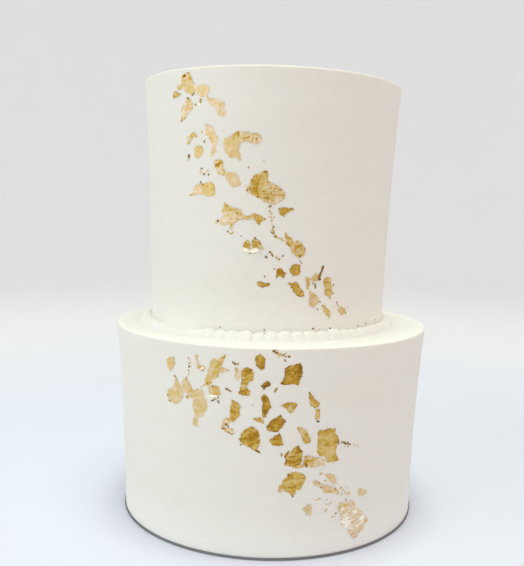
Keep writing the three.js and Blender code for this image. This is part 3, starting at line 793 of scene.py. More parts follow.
# %% Scraps of the bottom tier
BOTTOM_SCRAPS = [
    scrap(0.35, 0.2, (-65.4, 118.4), (-63, 119.4), (-59.8, 119.2), (-59.2, 115), (-60.6, 112),
          (-63, 110.8), (-64.8, 113), (-65.6, 116)),
    scrap(0.42, 0.6, (-44.4, 122.6), (-43, 122.8), (-42.4, 119), (-41.6, 116.6), (-39, 116.6),
          (-38.4, 115), (-41, 113.6), (-42.6, 115.2), (-43.8, 117)),
    scrap(0.27, 0.6, (-29, 117), (-27, 116.6), (-23, 115.6), (-26, 114.6), (-28, 112), (-28.8, 113.6)),
    scrap(0.5, 0.4, (-34.6, 121.4), (-32, 122), (-29.4, 121), (-28, 123.4), (-26, 125),
          (-25.2, 123.8), (-27, 121.4), (-28.4, 118.4), (-28.8, 115), (-29.6, 111.6), (-31.6, 109.8),
          (-33.8, 109), (-34.6, 106), (-37, 105.2), (-39, 104.8), (-37.8, 108.4), (-36.8, 112.4),
          (-35.4, 116)),
    scrap(0.55, 0.4, (-35.6, 104.4), (-33, 105), (-29.2, 104.8), (-28.8, 101.2), (-30.4, 100),
          (-34, 99.8), (-36.2, 101.4)),
    scrap(0.35, 0.3, (-59.8, 108.8), (-58.6, 108.4), (-57, 105), (-54.8, 102.6), (-53, 100),
          (-53.4, 96.6), (-55.6, 92.6), (-58.6, 90.6), (-61.6, 91.4), (-64.4, 92.4), (-65.6, 95.4),
          (-64.8, 99), (-61, 101.4), (-59.2, 104.6)),
    scrap(0.34, 0.3, (-51.8, 108.8), (-50.4, 109.2), (-49.6, 106.4), (-47, 104.4), (-46.4, 100),
          (-49, 98), (-52, 99.6), (-53.8, 103), (-53, 106)),
    scrap(0.34, 0.3, (-46.6, 100.6), (-44, 102.4), (-41, 102.4), (-39, 100.4), (-39.4, 97.4),
          (-42, 95.8), (-46, 95.8), (-48.6, 96.6)),
    scrap(0.38, 0.3, (-46.4, 95), (-43, 96.4), (-39.6, 97.8), (-37.2, 95), (-36.8, 92),
          (-38.6, 87.8), (-40.6, 85.6), (-43, 84), (-43, 80.4), (-43.6, 78.8), (-45.4, 78.8),
          (-46.6, 81.4), (-45.4, 84.6), (-45, 87.6), (-46.4, 91)),
    scrap(0.25, 0.8, (-20, 117.4), (-17.6, 117), (-17, 113), (-17.6, 109.4), (-19, 110), (-20, 113)),
    scrap(0.8, 0.4, (-16.4, 114.6), (-14.6, 117.8), (-12, 117.8), (-10, 116.2), (-8.6, 113),
          (-9, 110), (-11.6, 108.6), (-15.4, 108.8), (-16, 111.6)),
    scrap(0.75, 0.6, (-15.8, 109.4), (-12, 109.4), (-12.6, 106.2), (-11.2, 104), (-11.4, 101.2),
          (-14, 101), (-17.4, 101.8), (-17.2, 105.4)),
    scrap(0.92, 0.3, (-9.2, 122), (-7.4, 124.6), (-5.6, 126.2), (-4, 124.8), (-2.2, 123), (-3, 120.4),
          (-3.2, 117.6), (-4.8, 116), (-6.4, 117.4), (-7.8, 120)),
    scrap(0.96, 0.35, (8.8, 117.6), (11, 120), (14, 119.8), (17.4, 121), (18.8, 119), (18.8, 115.4),
          (18.2, 111.6), (16.4, 108.4), (12, 108.6), (9, 107.8), (6.8, 108.4), (8.6, 112.4)),
    scrap(1.0, 0.5, (-4.8, 107.6), (-3.4, 109.4), (-1, 110), (1.2, 109), (1.2, 107.4), (-1.4, 106.6),
          (-3, 105.6), (-4.4, 106.4)),
    scrap(0.7, 0.4, (-21.4, 97.6), (-19, 97), (-16.4, 94.4), (-17.4, 91.8), (-16.4, 89.4),
          (-18.8, 86.6), (-20.4, 85), (-22.6, 86.4), (-22.8, 89.6), (-22.2, 93.6)),
    scrap(0.5, 0.8, (-22.8, 86.6), (-20.6, 85), (-23, 84), (-25.4, 82.6), (-27.6, 80.4),
          (-28.2, 81.6), (-26.4, 85), (-24.6, 86.8)),
    scrap(0.22, 1.0, (-27.6, 80), (-24, 81), (-21, 80.4), (-19.8, 78), (-21, 76.4), (-24.6, 77.8)),
    scrap(0.95, 0.3, (-4.6, 100.4), (-2.8, 101.6), (-0.6, 100.6), (0.4, 97.6), (1, 94.6), (0, 91.6),
          (-1.6, 88.6), (-3, 87), (-4.4, 88.6), (-3.8, 91.6), (-3.6, 95), (-4, 98.6)),
    scrap(0.78, 0.3, (-9, 87), (-6, 87.8), (-3.8, 88.8), (-2.8, 86.6), (-3, 84.4), (-5, 85.4)),
    scrap(0.56, 0.8, (8.6, 95), (15.6, 95), (14.4, 91.8), (12.4, 91), (11.2, 92.4)),
    scrap(0.8, 0.4, (6.8, 95.6), (9.4, 97.2), (11, 98), (14, 97.8), (16.8, 96), (15.4, 94.8),
          (12, 95), (9, 94.2)),
    scrap(0.82, 0.3, (23.4, 103.2), (24.8, 101.8), (27, 99), (29.8, 96.6), (29.4, 94.8), (27, 93.2),
          (25, 95.4), (23.2, 98.6)),
    scrap(0.68, 0.2, (27.8, 93), (30.2, 93.2), (30.2, 87.6), (27.8, 86.6)),
    scrap(0.98, 0.35, (1.6, 86), (4, 88.2), (6.8, 90), (8.4, 88.2), (9.8, 86), (8.2, 83), (6, 80.4),
          (3, 79.4), (0, 80.4), (-1.2, 82), (-0.2, 84)),
    scrap(0.85, 0.3, (0.6, 74.2), (3, 76.4), (6.4, 78.6), (7.6, 77), (8.2, 74.4), (9, 72), (7, 70.8),
          (4.6, 70.8), (2.4, 72)),
    scrap(0.79, 0.45, (-16.2, 77.6), (-13, 80.6), (-9.4, 82.8), (-7.4, 81), (-5, 78.4), (-4.8, 75),
          (-4.4, 72.2), (-6.4, 69.4), (-8.6, 68.4), (-12.4, 70.4), (-15.6, 71.4), (-18.2, 74.2),
          (-16.6, 75.2)),
    scrap(0.65, 0.7, (17, 82), (20, 81.4), (22.4, 80), (24.2, 77.2), (25, 73.6), (24, 72.2),
          (21.6, 71.8), (20.4, 74), (19, 77.4), (17.8, 80)),
    scrap(0.4, 0.8, (22, 64.4), (24.4, 64.6), (28, 63.2), (31.6, 62.4), (35, 60.8), (34.2, 58),
          (30.4, 57.2), (26.4, 57), (23, 57.6), (21.2, 60)),
    scrap(0.66, 0.2, (29.4, 80.4), (33, 80.2), (37, 80.6), (40.8, 80.2), (41, 76.4), (42.8, 74.4),
          (42.6, 70), (41.8, 66.4), (42.4, 62.6), (43.8, 60.4), (40.6, 59.2), (36.8, 59.6),
          (35.6, 61.4), (34, 63.2), (31, 63.4), (29.6, 66.8), (30, 72)),
    scrap(0.27, 0.9, (13.6, 57.8), (20, 59.4), (21.8, 58), (18, 56.6)),
    scrap(0.76, 0.7, (10.6, 65.4), (13, 67.2), (15.4, 69.8), (18, 71), (18.6, 69.6), (20, 67.4),
          (20.6, 64.6), (20, 61), (18.6, 58.6), (15, 58.2), (12.4, 58.6), (10.2, 59)),
    scrap(0.34, 0.6, (7.2, 46.8), (9.6, 46.4), (10, 43.4), (8.4, 42), (6.4, 42.4), (6.6, 44.6)),
    scrap(0.72, 0.35, (10.4, 51), (12, 52.8), (15, 54.6), (18.6, 54.6), (21.4, 53.2), (22.6, 50.4),
          (21.4, 47), (19.8, 43.6), (17.4, 43), (16, 40.4), (15.2, 38.8), (13.8, 41), (11, 43),
          (9.4, 45.6), (9.2, 48.6)),
    scrap(0.45, 0.3, (34, 52.2), (37, 52.2), (40.2, 51), (42, 48.4), (42.6, 46), (40.6, 45.4),
          (39, 47.6), (36.4, 49.6)),
    scrap(0.35, 0.9, (27.4, 48), (29.4, 48.2), (32, 47), (33.6, 45), (33, 43.4), (30.6, 44.6),
          (28.4, 46)),
    scrap(0.36, 0.6, (34.6, 44.6), (37, 44.8), (40, 43.6), (42.6, 41.6), (45, 39.6), (44, 38.4),
          (40.4, 39.2), (36.6, 40), (34, 41.4)),
    scrap(0.25, 0.3, (22, 31), (24.4, 33), (26.6, 33.4), (27.8, 31), (28, 28), (26.6, 26.6),
          (24.4, 27), (23, 29.4)),
    scrap(0.02, 0.6, (44.6, 29.6), (46, 32.4), (50, 32), (53.6, 32.6), (56.4, 31), (58.6, 27.6),
          (61, 24.6), (64.6, 21), (68.6, 15.6), (65.4, 13.6), (65.6, 10.6), (63, 9.8), (60.6, 7.4),
          (57.6, 5.6), (55, 9.6), (52.4, 14), (49.4, 15.4), (47, 18), (47, 23)),
    scrap(0.22, 0.8, (48, 31), (54, 32), (57.6, 28.4), (56, 26), (49, 27.6)),
    scrap(0.2, 0.6, (61.4, 13), (63.6, 13), (65, 10.4), (62.6, 9.8), (60.8, 11)),
    scrap(0.27, 0.2, (59.4, 38.4), (62, 38.4), (65.8, 36.6), (66.6, 34.4), (63, 33.6), (59.6, 34)),
]
print("scraps on the bottom tier:", len(BOTTOM_SCRAPS))

# %% [markdown]
# Between the scraps lie crumbs, torn too small to have a shape, and a few needles, which are
# slivers seen on edge. Most crumbs stand up or are folded double, so they look dark, and that
# shade is painted into them with deep tones; a few bright bits are painted highlights. Some lie
# where they were dropped and are listed one by one. Others fell in a trail from the brush, which
# is a line from one place to another with a few bits a little to one side or the other of it.

# %% Crumbs and needles
TRAIL_SPREAD = 0.55   # mm
# Each bit: around, up, length, width, lean, tone. A tone above 1 is painted shade, and one below 0 a painted
# highlight.
TOP_BITS = [bit(*row) for row in (
    (-55.6, 151.4, 3.0, 1.5, 80, 1.3), (-52.8, 152.8, 2.2, 1.0, 75, 1.0), (-53, 139, 2.0, 1.3, 75, 1.25),
    (-46.8, 135.2, 1.5, 1.3, 0, 1.1), (-43.4, 137.0, 3.2, 1.2, 12, 0.8), (-49, 140.8, 5.0, 0.8, 55, 1.0),
    (-57.8, 126.6, 2.2, 0.8, 70, 0.9), (-52, 106.4, 2.4, 1.7, 10, 1.2), (-52.4, 104.2, 2.0, 0.9, 20, 0.3),
    (-40.6, 114.5, 1.9, 1.0, 20, 1.1), (-42.4, 119.8, 1.6, 1.2, 0, 0.5), (-19, 119.5, 1.4, 1.2, 0, 1.2),
    (-8.5, 116, 1.5, 1.2, 0, 1.2), (-42.4, 99.2, 2.0, 0.9, 75, 1.0), (-40.6, 96, 1.9, 1.0, 80, 1.2),
    (-37.3, 95.7, 1.6, 1.2, 40, 1.2), (-42.8, 97.4, 2.4, 1.0, 80, 0.2), (-38.4, 97.6, 3.4, 1.2, 60, 0.3),
    (-42.8, 91.5, 1.4, 1.1, 0, 1.1), (-41.2, 90.2, 1.6, 1.2, 0, 1.1), (-50.4, 83.7, 2.2, 1.1, 80, 0.9),
    (-12.6, 100, 1.6, 1.1, 0, 0.8), (-13, 87.2, 1.5, 1.2, 0, 1.2), (-2.6, 97.8, 1.7, 1.4, 0, 1.1),
    (-6.6, 83.6, 1.3, 1.0, 0, 1.2), (-30.7, 69.3, 1.7, 1.6, 0, 1.3), (-31.8, 68.2, 1.5, 1.2, 0, 0.5),
    (-24.4, 63.4, 1.2, 1.0, 0, 1.1), (-23.2, 62.2, 2.6, 0.6, -50, 0.6), (-21.4, 62.8, 3.0, 0.6, 45, 0.6),
    (-16.1, 60.9, 1.1, 0.9, 0, 0.9), (-2.2, 71.2, 1.4, 1.2, 0, 0.7), (0.4, 78.3, 2.2, 1.0, 80, 1.0),
    (1.5, 74, 1.2, 1.0, 0, 0.8), (3, 72.2, 1.2, 1.4, 0, 0.7), (3, 66.8, 1.3, 1.3, 0, 1.0),
    (2.2, 63.2, 2.6, 1.0, -50, 0.8), (4.2, 61.2, 2.4, 1.2, -40, 0.9), (7.4, 59.8, 3.4, 1.0, -60, 0.4),
    (5.8, 77.2, 1.2, 1.2, 0, 1.3), (-7.6, 60, 2.0, 1.0, -20, 1.1), (-0.9, 49, 1.7, 1.5, 30, 1.1),
    (1.2, 52, 1.8, 1.1, 80, 1.2), (2.6, 50.4, 2.6, 0.9, -30, 0.9), (0.9, 50.6, 1.6, 1.0, 0, -0.1),
    (5.2, 48.9, 1.5, 1.2, 0, 0.9), (6.8, 47.7, 1.6, 0.9, 60, 1.0), (9, 50, 1.7, 1.0, 50, 1.1),
    (19, 49.3, 1.5, 0.9, 40, 0.9), (19.4, 46.9, 1.4, 0.9, -50, 1.0), (20.5, 45.8, 1.4, 0.8, -30, 0.8),
    (4, 42.2, 1.5, 1.0, 60, 0.9), (-1.5, 37.6, 1.5, 1.2, 0, 0.9), (33.3, 40.6, 11.0, 1.2, 19, 1.15),
    (32.6, 36.2, 1.6, 1.6, 0, 1.3), (29.6, 32.6, 2.4, 1.1, 0, 1.25), (29.8, 31.2, 1.4, 1.0, 0, 1.1),
    (28, 33.6, 1.4, 1.0, 0, 1.0), (42, 32.6, 1.6, 0.9, -20, 0.9), (40.2, 24.5, 1.2, 1.1, 0, 1.1),
    (33.4, 22.4, 1.4, 1.0, -30, 1.0), (31.8, 18, 1.2, 1.1, 0, 1.1), (33, 24.6, 1.2, 0.7, 60, 0.6),
    (45.2, 21.6, 1.6, 1.0, -30, 0.8), (46.2, 20, 2.4, 0.7, -20, 0.6), (54.6, 17.8, 1.5, 0.8, 70, 0.5),
    (43.4, 19, 1.4, 0.8, 0, 0.4), (53, 14.4, 1.4, 0.8, 60, 0.9), (35, 19.8, 1.2, 0.8, 0, 0.9),
    (22, 54.2, 1.4, 0.8, 0, 1.0), (29.4, 6.2, 2.0, 1.3, 80, 1.2), (-28.2, 6.0, 1.3, 0.9, 0, 0.9),
    (89.0, 6.6, 1.2, 0.8, 0, 0.9), (-10.6, 51.2, 2.8, 0.8, 82, 1.0), (-7.2, 51.4, 1.6, 0.7, 60, 1.0),
    (-0.8, 5.6, 1.2, 0.9, 0, 0.9), (41.3, 5.6, 1.2, 1.4, 0, 1.0), (65.2, 5.4, 1.3, 0.9, 0, 0.9),
    (74.3, 5.8, 1.6, 1.0, 60, 0.9), (33.4, 5.2, 1.0, 0.8, 0, 0.8),
)]
# Each trail: start, end, number of bits, tone.
TOP_TRAILS = (
    ((0, 76.6), (0.4, 72), 4, 0.4), ((1, 72.6), (2.4, 68), 4, 0.3), ((1.4, 66), (4.6, 61), 5, 0.5),
    ((-4.6, 104.6), (-3.6, 103.6), 1, 0.3), ((5, 60.6), (9.4, 58.6), 4, 0.35), ((4, 49), (8, 48.4), 3, 0.5),
)
# Tones above 1 are painted shade, and those below 0 painted highlights.
BOTTOM_BITS = [bit(*row) for row in (
    (-48.8, 115.4, 1.8, 1.2, 0, 1.1), (-49.1, 112.8, 1.8, 0.9, 10, 0.8),
    (-49.2, 110.6, 1.6, 0.7, 20, 0.8), (-48, 117.6, 1.4, 0.8, 20, 0.7), (-49.6, 120.6, 1.4, 1.0, 0, 0.3),
    (-59.4, 108.2, 1.7, 1.3, 0, 0.9), (-50.8, 108.4, 1.6, 1.1, 20, 0.9), (-65, 95.2, 1.5, 1.3, 0, 1.15),
    (-63.8, 92, 1.9, 1.2, 60, 1.1), (-50.2, 96.4, 2.2, 1.8, 40, 0.7), (-21, 120.4, 2.8, 0.9, -45, 1.0),
    (-19.8, 119.6, 1.4, 1.2, 0, 1.2), (-18.2, 119.6, 1.8, 1.4, 40, 0.7), (-19, 116, 3.6, 1.0, -10, 0.8),
    (-23.6, 115.4, 1.3, 0.7, 70, 0.7), (-33.4, 105.2, 1.3, 0.9, 0, 1.1),
    (-36.6, 106.6, 1.5, 0.8, -40, 0.9), (-40.8, 103.8, 2.2, 0.8, 80, 0.4),
    (-24, 103.8, 4.8, 1.0, -58, 0.95), (-22.4, 103, 1.2, 1.1, 0, 1.15), (-33.4, 96.4, 3.8, 0.8, 68, 1.25),
    (-31, 98, 3.4, 0.8, 45, 1.25), (-29.8, 96, 2.2, 0.9, -25, 1.2), (-9.2, 95.8, 1.0, 0.9, 0, 0.5),
    (3.8, 104.8, 4.2, 1.0, 30, 0.85), (-2.8, 106.2, 1.3, 1.0, 0, 1.35), (-24.8, 82.6, 2.2, 1.6, 30, 1.1),
    (-23.6, 81.6, 1.6, 0.9, 0, 0.9), (-27.2, 79.8, 1.5, 1.0, 50, 1.0), (-21.4, 79.8, 1.6, 0.8, 60, 1.0),
    (-25.4, 78.6, 1.4, 0.7, 70, 0.7), (-21, 77, 1.8, 0.7, 60, 0.8), (-16, 71, 1.7, 1.3, 60, 1.0),
    (-6, 67.4, 3.6, 1.3, -62, 0.95), (8.1, 65.4, 2.4, 0.9, -15, 0.8), (11.8, 67, 3.4, 1.0, 20, 1.1),
    (10.3, 64.4, 1.8, 1.0, 0, 1.1), (17.8, 70.2, 2.4, 1.1, 60, 1.1), (43, 71.4, 5.0, 0.8, -6, 1.1),
    (41.8, 75.4, 2.2, 0.8, -60, 0.8), (29.4, 85.4, 2.1, 1.3, 90, 1.35), (23, 58, 1.4, 1.2, 0, 1.15),
    (22.8, 64, 2.2, 0.8, 80, 1.0), (23.6, 61.8, 1.5, 1.0, 0, 1.0), (21.6, 60.2, 1.4, 0.8, 0, 0.9),
    (12.3, 53.2, 1.8, 1.0, 60, 1.3), (10.6, 49, 1.3, 0.9, 0, 1.0), (7.2, 42.8, 1.8, 0.9, -50, 0.8),
    (15.4, 39.4, 1.6, 1.2, 0, 0.95), (32.6, 52.5, 2.6, 1.6, 80, 0.55), (31.8, 46.6, 1.6, 0.9, 40, 1.0),
    (32, 45.2, 1.5, 0.9, 0, -0.15), (32.8, 43.8, 1.4, 0.9, 40, 0.95), (35.4, 47.6, 1.6, 1.2, 30, 0.5),
    (42.4, 41.8, 1.7, 0.8, -40, 0.95), (44, 38.4, 1.5, 0.9, 0, 0.8), (46.2, 42, 1.6, 0.9, -30, 0.4),
    (50.6, 41, 2.2, 0.8, -60, 0.4), (46.8, 37.4, 1.8, 1.2, 80, 0.35), (51.8, 37.2, 3.0, 1.6, 70, 0.25),
    (50.2, 33.5, 1.6, 1.0, -50, 0.9), (43.2, 25.7, 1.5, 1.2, -60, 1.35), (40.8, 24, 2.2, 0.8, -40, 0.7),
    (42.4, 23.8, 1.5, 0.7, -50, 0.7), (45.2, 27, 1.4, 1.2, 0, 0.4), (48.2, 69.4, 1.7, 1.0, -60, 1.2),
    (46.6, 70.6, 1.4, 0.6, -50, 0.8), (50, 67.8, 1.3, 0.8, 0, 1.1), (49.8, 70.2, 1.6, 0.5, 40, 0.9),
    (47.6, 68, 1.5, 0.5, 50, 0.7), (64, 11, 1.6, 1.0, 50, 0.8), (60, 25, 1.3, 0.8, 0, 0.7),
    (2.2, 128, 1.7, 1.4, 60, 1.15), (3.6, 129, 1.6, 0.8, -60, 0.8), (4.2, 126.8, 1.4, 1.2, 0, 0.9),
    (6.2, 126, 1.6, 0.8, 80, 0.8), (7.8, 125.6, 1.7, 1.3, 40, 1.2), (9.2, 126.8, 1.8, 0.8, 60, 0.5),
    (11, 124.8, 1.6, 1.2, 80, 1.15), (8.8, 122.4, 3.0, 0.7, -40, 0.9), (3.4, 127.2, 2.4, 0.6, -60, 1.0),
    (5.4, 124.8, 3.0, 0.9, 60, 0.2),
)]
BOTTOM_TRAILS = (
    ((-48.8, 121), (-48.6, 117), 3, 0.4), ((2, 127), (10, 124.6), 5, 0.7), ((-27.6, 80), (-20.6, 77), 5, 0.8),
    ((44.6, 71.4), (52.6, 68.6), 8, 0.9), ((53, 68), (58, 66.4), 3, 0.4), ((28, 36.6), (32.6, 36.2), 4, 0.35),
    ((36.6, 36), (37, 34.8), 2, 0.2), ((36, 32.6), (39.4, 32.6), 4, 0.35), ((37.2, 30), (36, 27.4), 4, 0.35),
    ((45, 42), (52.6, 36), 6, 0.35), ((59, 9), (66, 12), 3, 0.3), ((21.4, 64), (23.6, 57.6), 4, 0.8),
)


def trail_bits(trails, seed):
    draw = random.Random(seed)
    bits = []
    for start, end, count, tone in trails:
        for k in range(count):
            share = (k + draw.uniform(0.1, 0.9)) / count
            around, up = (
                a + (b - a) * share + draw.uniform(-1, 1) * TRAIL_SPREAD for a, b in zip(start, end))
            bits.append(bit(around, up, draw.uniform(1.0, 1.9), draw.uniform(0.5, 1.0),
                            draw.uniform(-90, 90), tone + draw.uniform(-0.15, 0.25)))
    return bits


print("crumbs and needles:", len(TOP_BITS) + len(BOTTOM_BITS), "and those of the trails")

# %% [markdown]
# To turn the field into a mesh we lay a fine net over the wall and keep the part of each square
# that lies inside the leaf. Where the leaf's edge crosses a side of a square, a point goes there,
# and neighbouring squares share it, so the edge comes out as one clean line. The sheet is then
# creased by a few tenths of a millimetre, its edge lifts in places, and a second face just under
# it makes it a closed sheet.

# %% From field to sheet
NET = 0.36            # mm, the squares of the net
NET_MARGIN = 0.06     # a crossing keeps this share of a side clear of the corners
LEAF_LOW = 0.05       # mm, how proud of the buttercream a scrap lies at least
LEAF_WAVE = 0.08      # mm, how high the creases of a smooth scrap stand
LEAF_CREASE = 0.3     # mm, and how much higher those of the most creased one
LEAF_LIFT = 0.35      # mm, how far a torn edge may lift
LEAF_MOST = 0.62      # mm, and the whole never stands off by more than this
LEAF_THICK = 0.06
LIFT_EDGE = 0.9       # mm from the torn edge, where a lift has died down
RIDGE_MIDDLE = 0.45   # the height of a crease that leaves the tone as it is


def net_squares(inside):
    """Polygons of the net that lie in the leaf, with their points as fractions of the grid."""
    where, places, polygons = {}, [], []

    def corner(i, j):
        if (i, j) not in where:
            where[i, j] = len(places)
            places.append((i, j))
        return where[i, j]

    def crossing(i, j, k, m):
        key = (i, j, k, m) if (i, j) < (k, m) else (k, m, i, j)
        if key not in where:
            a, b = inside[key[0], key[1]], inside[key[2], key[3]]
            share = min(1 - NET_MARGIN, max(NET_MARGIN, a / (a - b)))
            where[key] = len(places)
            places.append((key[0] + (key[2] - key[0]) * share, key[1] + (key[3] - key[1]) * share))
        return where[key]

    full = inside > 0
    some = full[:-1, :-1] | full[1:, :-1] | full[1:, 1:] | full[:-1, 1:]
    for i, j in np.argwhere(some):
        ring = ((i, j), (i + 1, j), (i + 1, j + 1), (i, j + 1))
        polygon = []
        for here, there in zip(ring, ring[1:] + ring[:1]):
            if full[here]:
                polygon.append(corner(*here))
            if full[here] != full[there]:
                polygon.append(crossing(*here, *there))
        polygons.append(polygon)
    return np.array(places, float), polygons


def sheet(polygons, upper, lower):
    """Points and faces of a closed sheet with these two faces."""
    count = len(upper)
    faces = polygons + [[count + k for k in reversed(p)] for p in polygons]
    sides = {}
    for polygon in polygons:
        for here, there in zip(polygon, polygon[1:] + polygon[:1]):
            if (there, here) in sides:
                del sides[there, here]
            else:
                sides[here, there] = True
    faces += [[there, here, count + here, count + there] for here, there in sides]
    return np.concatenate([upper, lower]), faces


def creases(seed):
    """A function of a place on the wall: 1 on the back of a crease and 0 far from any."""
    bend = wall_noise(seed, 4.0)
    broad, fine = wall_noise(seed + 1, 2.3), wall_noise(seed + 2, 1.0)

    def height(around, up):
        shift = 1.6 * bend(around, up)
        lines = 1 - np.abs(broad(around * 0.6 + shift, up * 1.5 + shift)) * 1.6
        return np.clip(0.6 * lines + 0.4 * (1 - 1.6 * np.abs(fine(around + shift, up * 1.3))), 0, 1)

    return height


def finish_leaf(name, node, points, faces, **values):
    """The mesh of some leaf, with the numbers its material reads."""
    piece = mesh_piece(name, points, faces, GOLD_LEAF)
    piece.data.set_sharp_from_angle(angle=math.radians(50))
    for title, value in values.items():
        note_values(piece, title, value)
    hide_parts(node)
    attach(piece, "root")
    print(name, "has", len(piece.data.polygons), "faces")
    return piece


def leaf_piece(name, title, scraps, seed, node):
    tier = BOTTOM if title == "bottom" else TOP
    reach = max(np.abs(one.corners[:, 0]).max() for one in scraps) + 3
    around, up = np.meshgrid(np.arange(-reach, reach, NET), np.arange(0.5, tier.tall - 0.5, NET),
                             indexing="ij")
    inside, tone, creased = leaf_field(scraps, around, up, seed)
    places, polygons = net_squares(inside)
    at = np.rint(places).astype(int)
    place_around = np.interp(places[:, 0], range(around.shape[0]), around[:, 0])
    place_up = np.interp(places[:, 1], range(up.shape[1]), up[0])
    inset = np.where((places == at).all(axis=1), np.clip(inside[at[:, 0], at[:, 1]], 0, 3), 0.0)
    fold = creased[at[:, 0], at[:, 1]]
    ridge = creases(seed + 8)(place_around, place_up)
    lift = np.clip(wall_noise(seed + 4, 4.0)(place_around, place_up), 0, 1) * np.exp(-inset / LIFT_EDGE)
    off = LEAF_LOW + (LEAF_WAVE + LEAF_CREASE * fold) * ridge + LEAF_LIFT * lift
    off = np.minimum(off, LEAF_MOST)
    upper = wall_point(title, place_around, place_up, off)
    lower = wall_point(title, place_around, place_up, off - LEAF_THICK)
    points, faces = sheet(polygons, upper, lower)
    return finish_leaf(
        name, node, points, faces, tone=np.tile(tone[at[:, 0], at[:, 1]], 2), inset=np.tile(inset, 2),
        ridge=np.tile((ridge - RIDGE_MIDDLE) * fold, 2))


leaf_piece("bottom_gold_leaf", "bottom", BOTTOM_SCRAPS + BOTTOM_BITS + trail_bits(BOTTOM_TRAILS, 52),
           61, "bottom_tier")
leaf_piece("top_gold_leaf", "top", TOP_SCRAPS + TOP_BITS + trail_bits(TOP_TRAILS, 51), 71, "top_tier")

# %% [markdown]
# In a few places the leaf did not lie down. It curls out from the wall, shows its bright side to
# the ceiling and throws a small shadow under it. Its brightness is also painted, as a highlight in
# the palest tones of the ramp. Each curl is a strip whose upper edge is held by the buttercream
# while the rest is rolled out on an arc.

# %% Curls
CURL_STEPS = 10
CURL_TURN = 2.2       # radians from the wall to the free edge
CURL_THICK = 0.1
CURL_LOW = 0.1        # mm, how proud of the wall the held edge lies
CURL_UNEVEN = (0.6, 1.15)   # the least and most of its radius that a curl has along its length


def curl_points(title, around, up, long, radius, lean, draw, inward):
    """The strip's points; inward is how much tighter the arc is, for its inner face."""
    rows = max(6, round(long / 0.5))
    share = np.linspace(-0.5, 0.5, rows)[:, None]
    turn = np.linspace(0, CURL_TURN, CURL_STEPS)[None, :]
    wobble = np.interp(share, np.linspace(-0.5, 0.5, 5), [draw.uniform(*CURL_UNEVEN) for _ in range(5)])
    arc = radius * wobble - inward
    drop = -arc * np.sin(turn)
    off = CURL_LOW + inward + arc * (1 - np.cos(turn))
    tilt = math.radians(lean)
    along = share * long
    right = around + along * math.cos(tilt) + drop * math.sin(tilt)
    rise = up + drop * math.cos(tilt) - along * math.sin(tilt)
    return wall_point(title, right, rise, off)


def curl_piece(name, title, curls, seed, node):
    points, faces, tones = [], [], []
    count = 0
    for k, (around, up, long, radius, lean, tone) in enumerate(curls):
        outer = curl_points(title, around, up, long, radius, lean, random.Random(seed + k), 0.0)
        inner = curl_points(title, around, up, long, radius, lean, random.Random(seed + k), CURL_THICK)
        rows, columns = outer.shape[:2]
        squares = [[r * columns + c, (r + 1) * columns + c, (r + 1) * columns + c + 1, r * columns + c + 1]
                   for r in range(rows - 1) for c in range(columns - 1)]
        both, strip = sheet(squares, outer.reshape(-1, 3), inner.reshape(-1, 3))
        points.append(both)
        faces += [[count + i for i in face] for face in strip]
        tones.append(np.full(len(both), tone))
        count += len(both)
    return finish_leaf(name, node, np.concatenate(points), faces, tone=np.concatenate(tones),
                       inset=np.full(count, 2.0), ridge=np.zeros(count))


# Each: around, up, length, radius, lean, tone, a painted highlight near the pale end of the ramp.
curl_piece("top_leaf_curls", "top", (
    (-12.2, 53.8, 4.6, 2.1, 24, -0.3), (-8.4, 53.6, 4.8, 2.3, -20, -0.3),
    (-43.4, 135.6, 2.4, 1.6, 30, -0.3), (6.6, 43.8, 2.6, 1.0, 10, -0.25),
    (-16.8, 71.8, 1.9, 1.1, -20, -0.3)), 81, "top_tier")
curl_piece("bottom_leaf_curls", "bottom", (
    (-33, 99.9, 5.2, 2.0, -6, -0.3), (-40.4, 115.6, 2.8, 1.3, -30, -0.2),
    (-24.4, 84.8, 2.0, 1.0, 30, -0.1)), 91, "bottom_tier")

# %% [markdown]
# The light is that of a bright room: a wide soft window at the front left, a weak warm glow from
# the right, a soft lamp overhead, and pale walls all round that send light back. We build the room
# as a bowl, a floor that curves up into a wall, so that no corner or skyline shows behind the cake
# from any side. The lamps are hidden from the camera and light the scene all the same.

# %% Room
FLOOR_RADIUS = 1.5    # m
SWEEP_RADIUS = 0.9
WALL_TOP = 2.6
ROOM_SIDES = 96
BOARD_TONE = shade(231, 234, 246)
BACK_TONE = shade(250, 250, 252)
ROOM_GLOW = (0.01, 0.02, 0.03, 1.0)
BOARD_ENDS, BACK_STARTS = 0.25, 0.9   # m from the cake, between which the tone changes
SKY_COLOUR = (1.0, 0.88, 0.81, 1)
SKY_STRENGTH = 0.6


def room_finish():
    finish = Finish("pale_room", Roughness=0.9, Emission_Color=ROOM_GLOW, Emission_Strength=1.0)
    place = finish.node("ShaderNodeTexCoord", out=3)
    away = finish.node("ShaderNodeVectorMath", {"operation": "LENGTH"}, {0: place}, out=1)
    far = finish.smooth(away, BOARD_ENDS, BACK_STARTS)
    return finish.wear(Base_Color=finish.mix(far, BOARD_TONE, BACK_TONE))


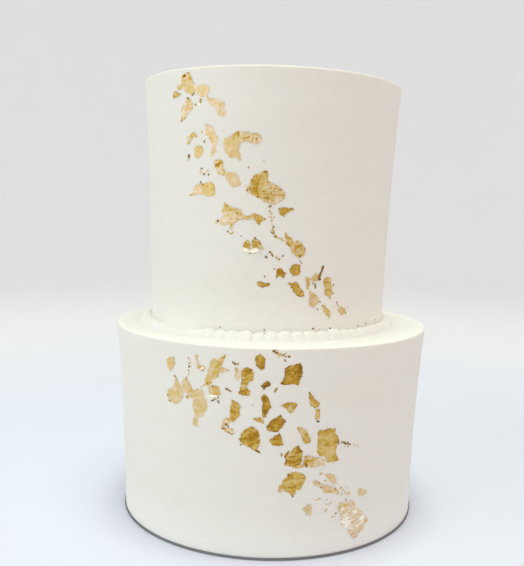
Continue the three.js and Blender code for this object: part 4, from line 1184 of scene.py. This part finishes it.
def room():
    profile = [(0.0, 0.0), (FLOOR_RADIUS / 2, 0.0), (FLOOR_RADIUS, 0.0)]
    for a in np.linspace(0, math.pi / 2, 13)[1:]:
        profile.append((FLOOR_RADIUS + SWEEP_RADIUS * math.sin(a), SWEEP_RADIUS * (1 - math.cos(a))))
    profile.append((FLOOR_RADIUS + SWEEP_RADIUS, WALL_TOP))
    points = [(0.0, 0.0, 0.0)]
    for radius, z in profile[1:]:
        for k in range(ROOM_SIDES):
            turn = 2 * math.pi * k / ROOM_SIDES
            points.append((radius * math.sin(turn), -radius * math.cos(turn), z))
    faces = [(0, 1 + k, 1 + (k + 1) % ROOM_SIDES) for k in range(ROOM_SIDES)]
    for row in range(len(profile) - 2):
        for k in range(ROOM_SIDES):
            here = 1 + row * ROOM_SIDES + k
            there = 1 + row * ROOM_SIDES + (k + 1) % ROOM_SIDES
            faces.append((here, here + ROOM_SIDES, there + ROOM_SIDES, there))
    piece = mesh_piece("floor", np.array(points) / MM, faces, room_finish())
    return piece


room()


def soft_light(name, place, target, size, power, colour):
    data = bpy.data.lights.new(name, "AREA")
    data.shape = "RECTANGLE"
    data.size, data.size_y = size
    data.energy = power
    data.color = colour
    light = bpy.data.objects.new(name, data)
    light.location = place
    light.visible_camera = False
    light.rotation_euler = (Vector(target) - Vector(place)).to_track_quat("-Z", "Y").to_euler()
    bpy.context.scene.collection.objects.link(light)
    return light


# Each: name, place and target in m, size in m, power in W, colour.
soft_light("window", (-1.5, -0.85, 0.75), (0, 0, 0.15), (1.2, 1.1), 6.2, (0.9, 1.0, 1.03))
soft_light("warm_wall", (1.2, -0.9, 0.8), (0, 0, 0.15), (1.0, 1.0), 1.3, (1.0, 0.1, 0.05))
soft_light("ceiling", (0.05, -0.09, 1.7), (0, -0.02, 0.1), (0.5, 0.5), 12.2, (0.84, 1.0, 0.88))

world = bpy.data.worlds.new("world")
world.use_nodes = True
world.node_tree.nodes["Background"].inputs["Color"].default_value = SKY_COLOUR
world.node_tree.nodes["Background"].inputs["Strength"].default_value = SKY_STRENGTH
bpy.context.scene.world = world
bpy.context.scene.view_settings.view_transform = "Standard"
print("lights:", [o.name for o in bpy.context.scene.objects if o.type == "LIGHT"])
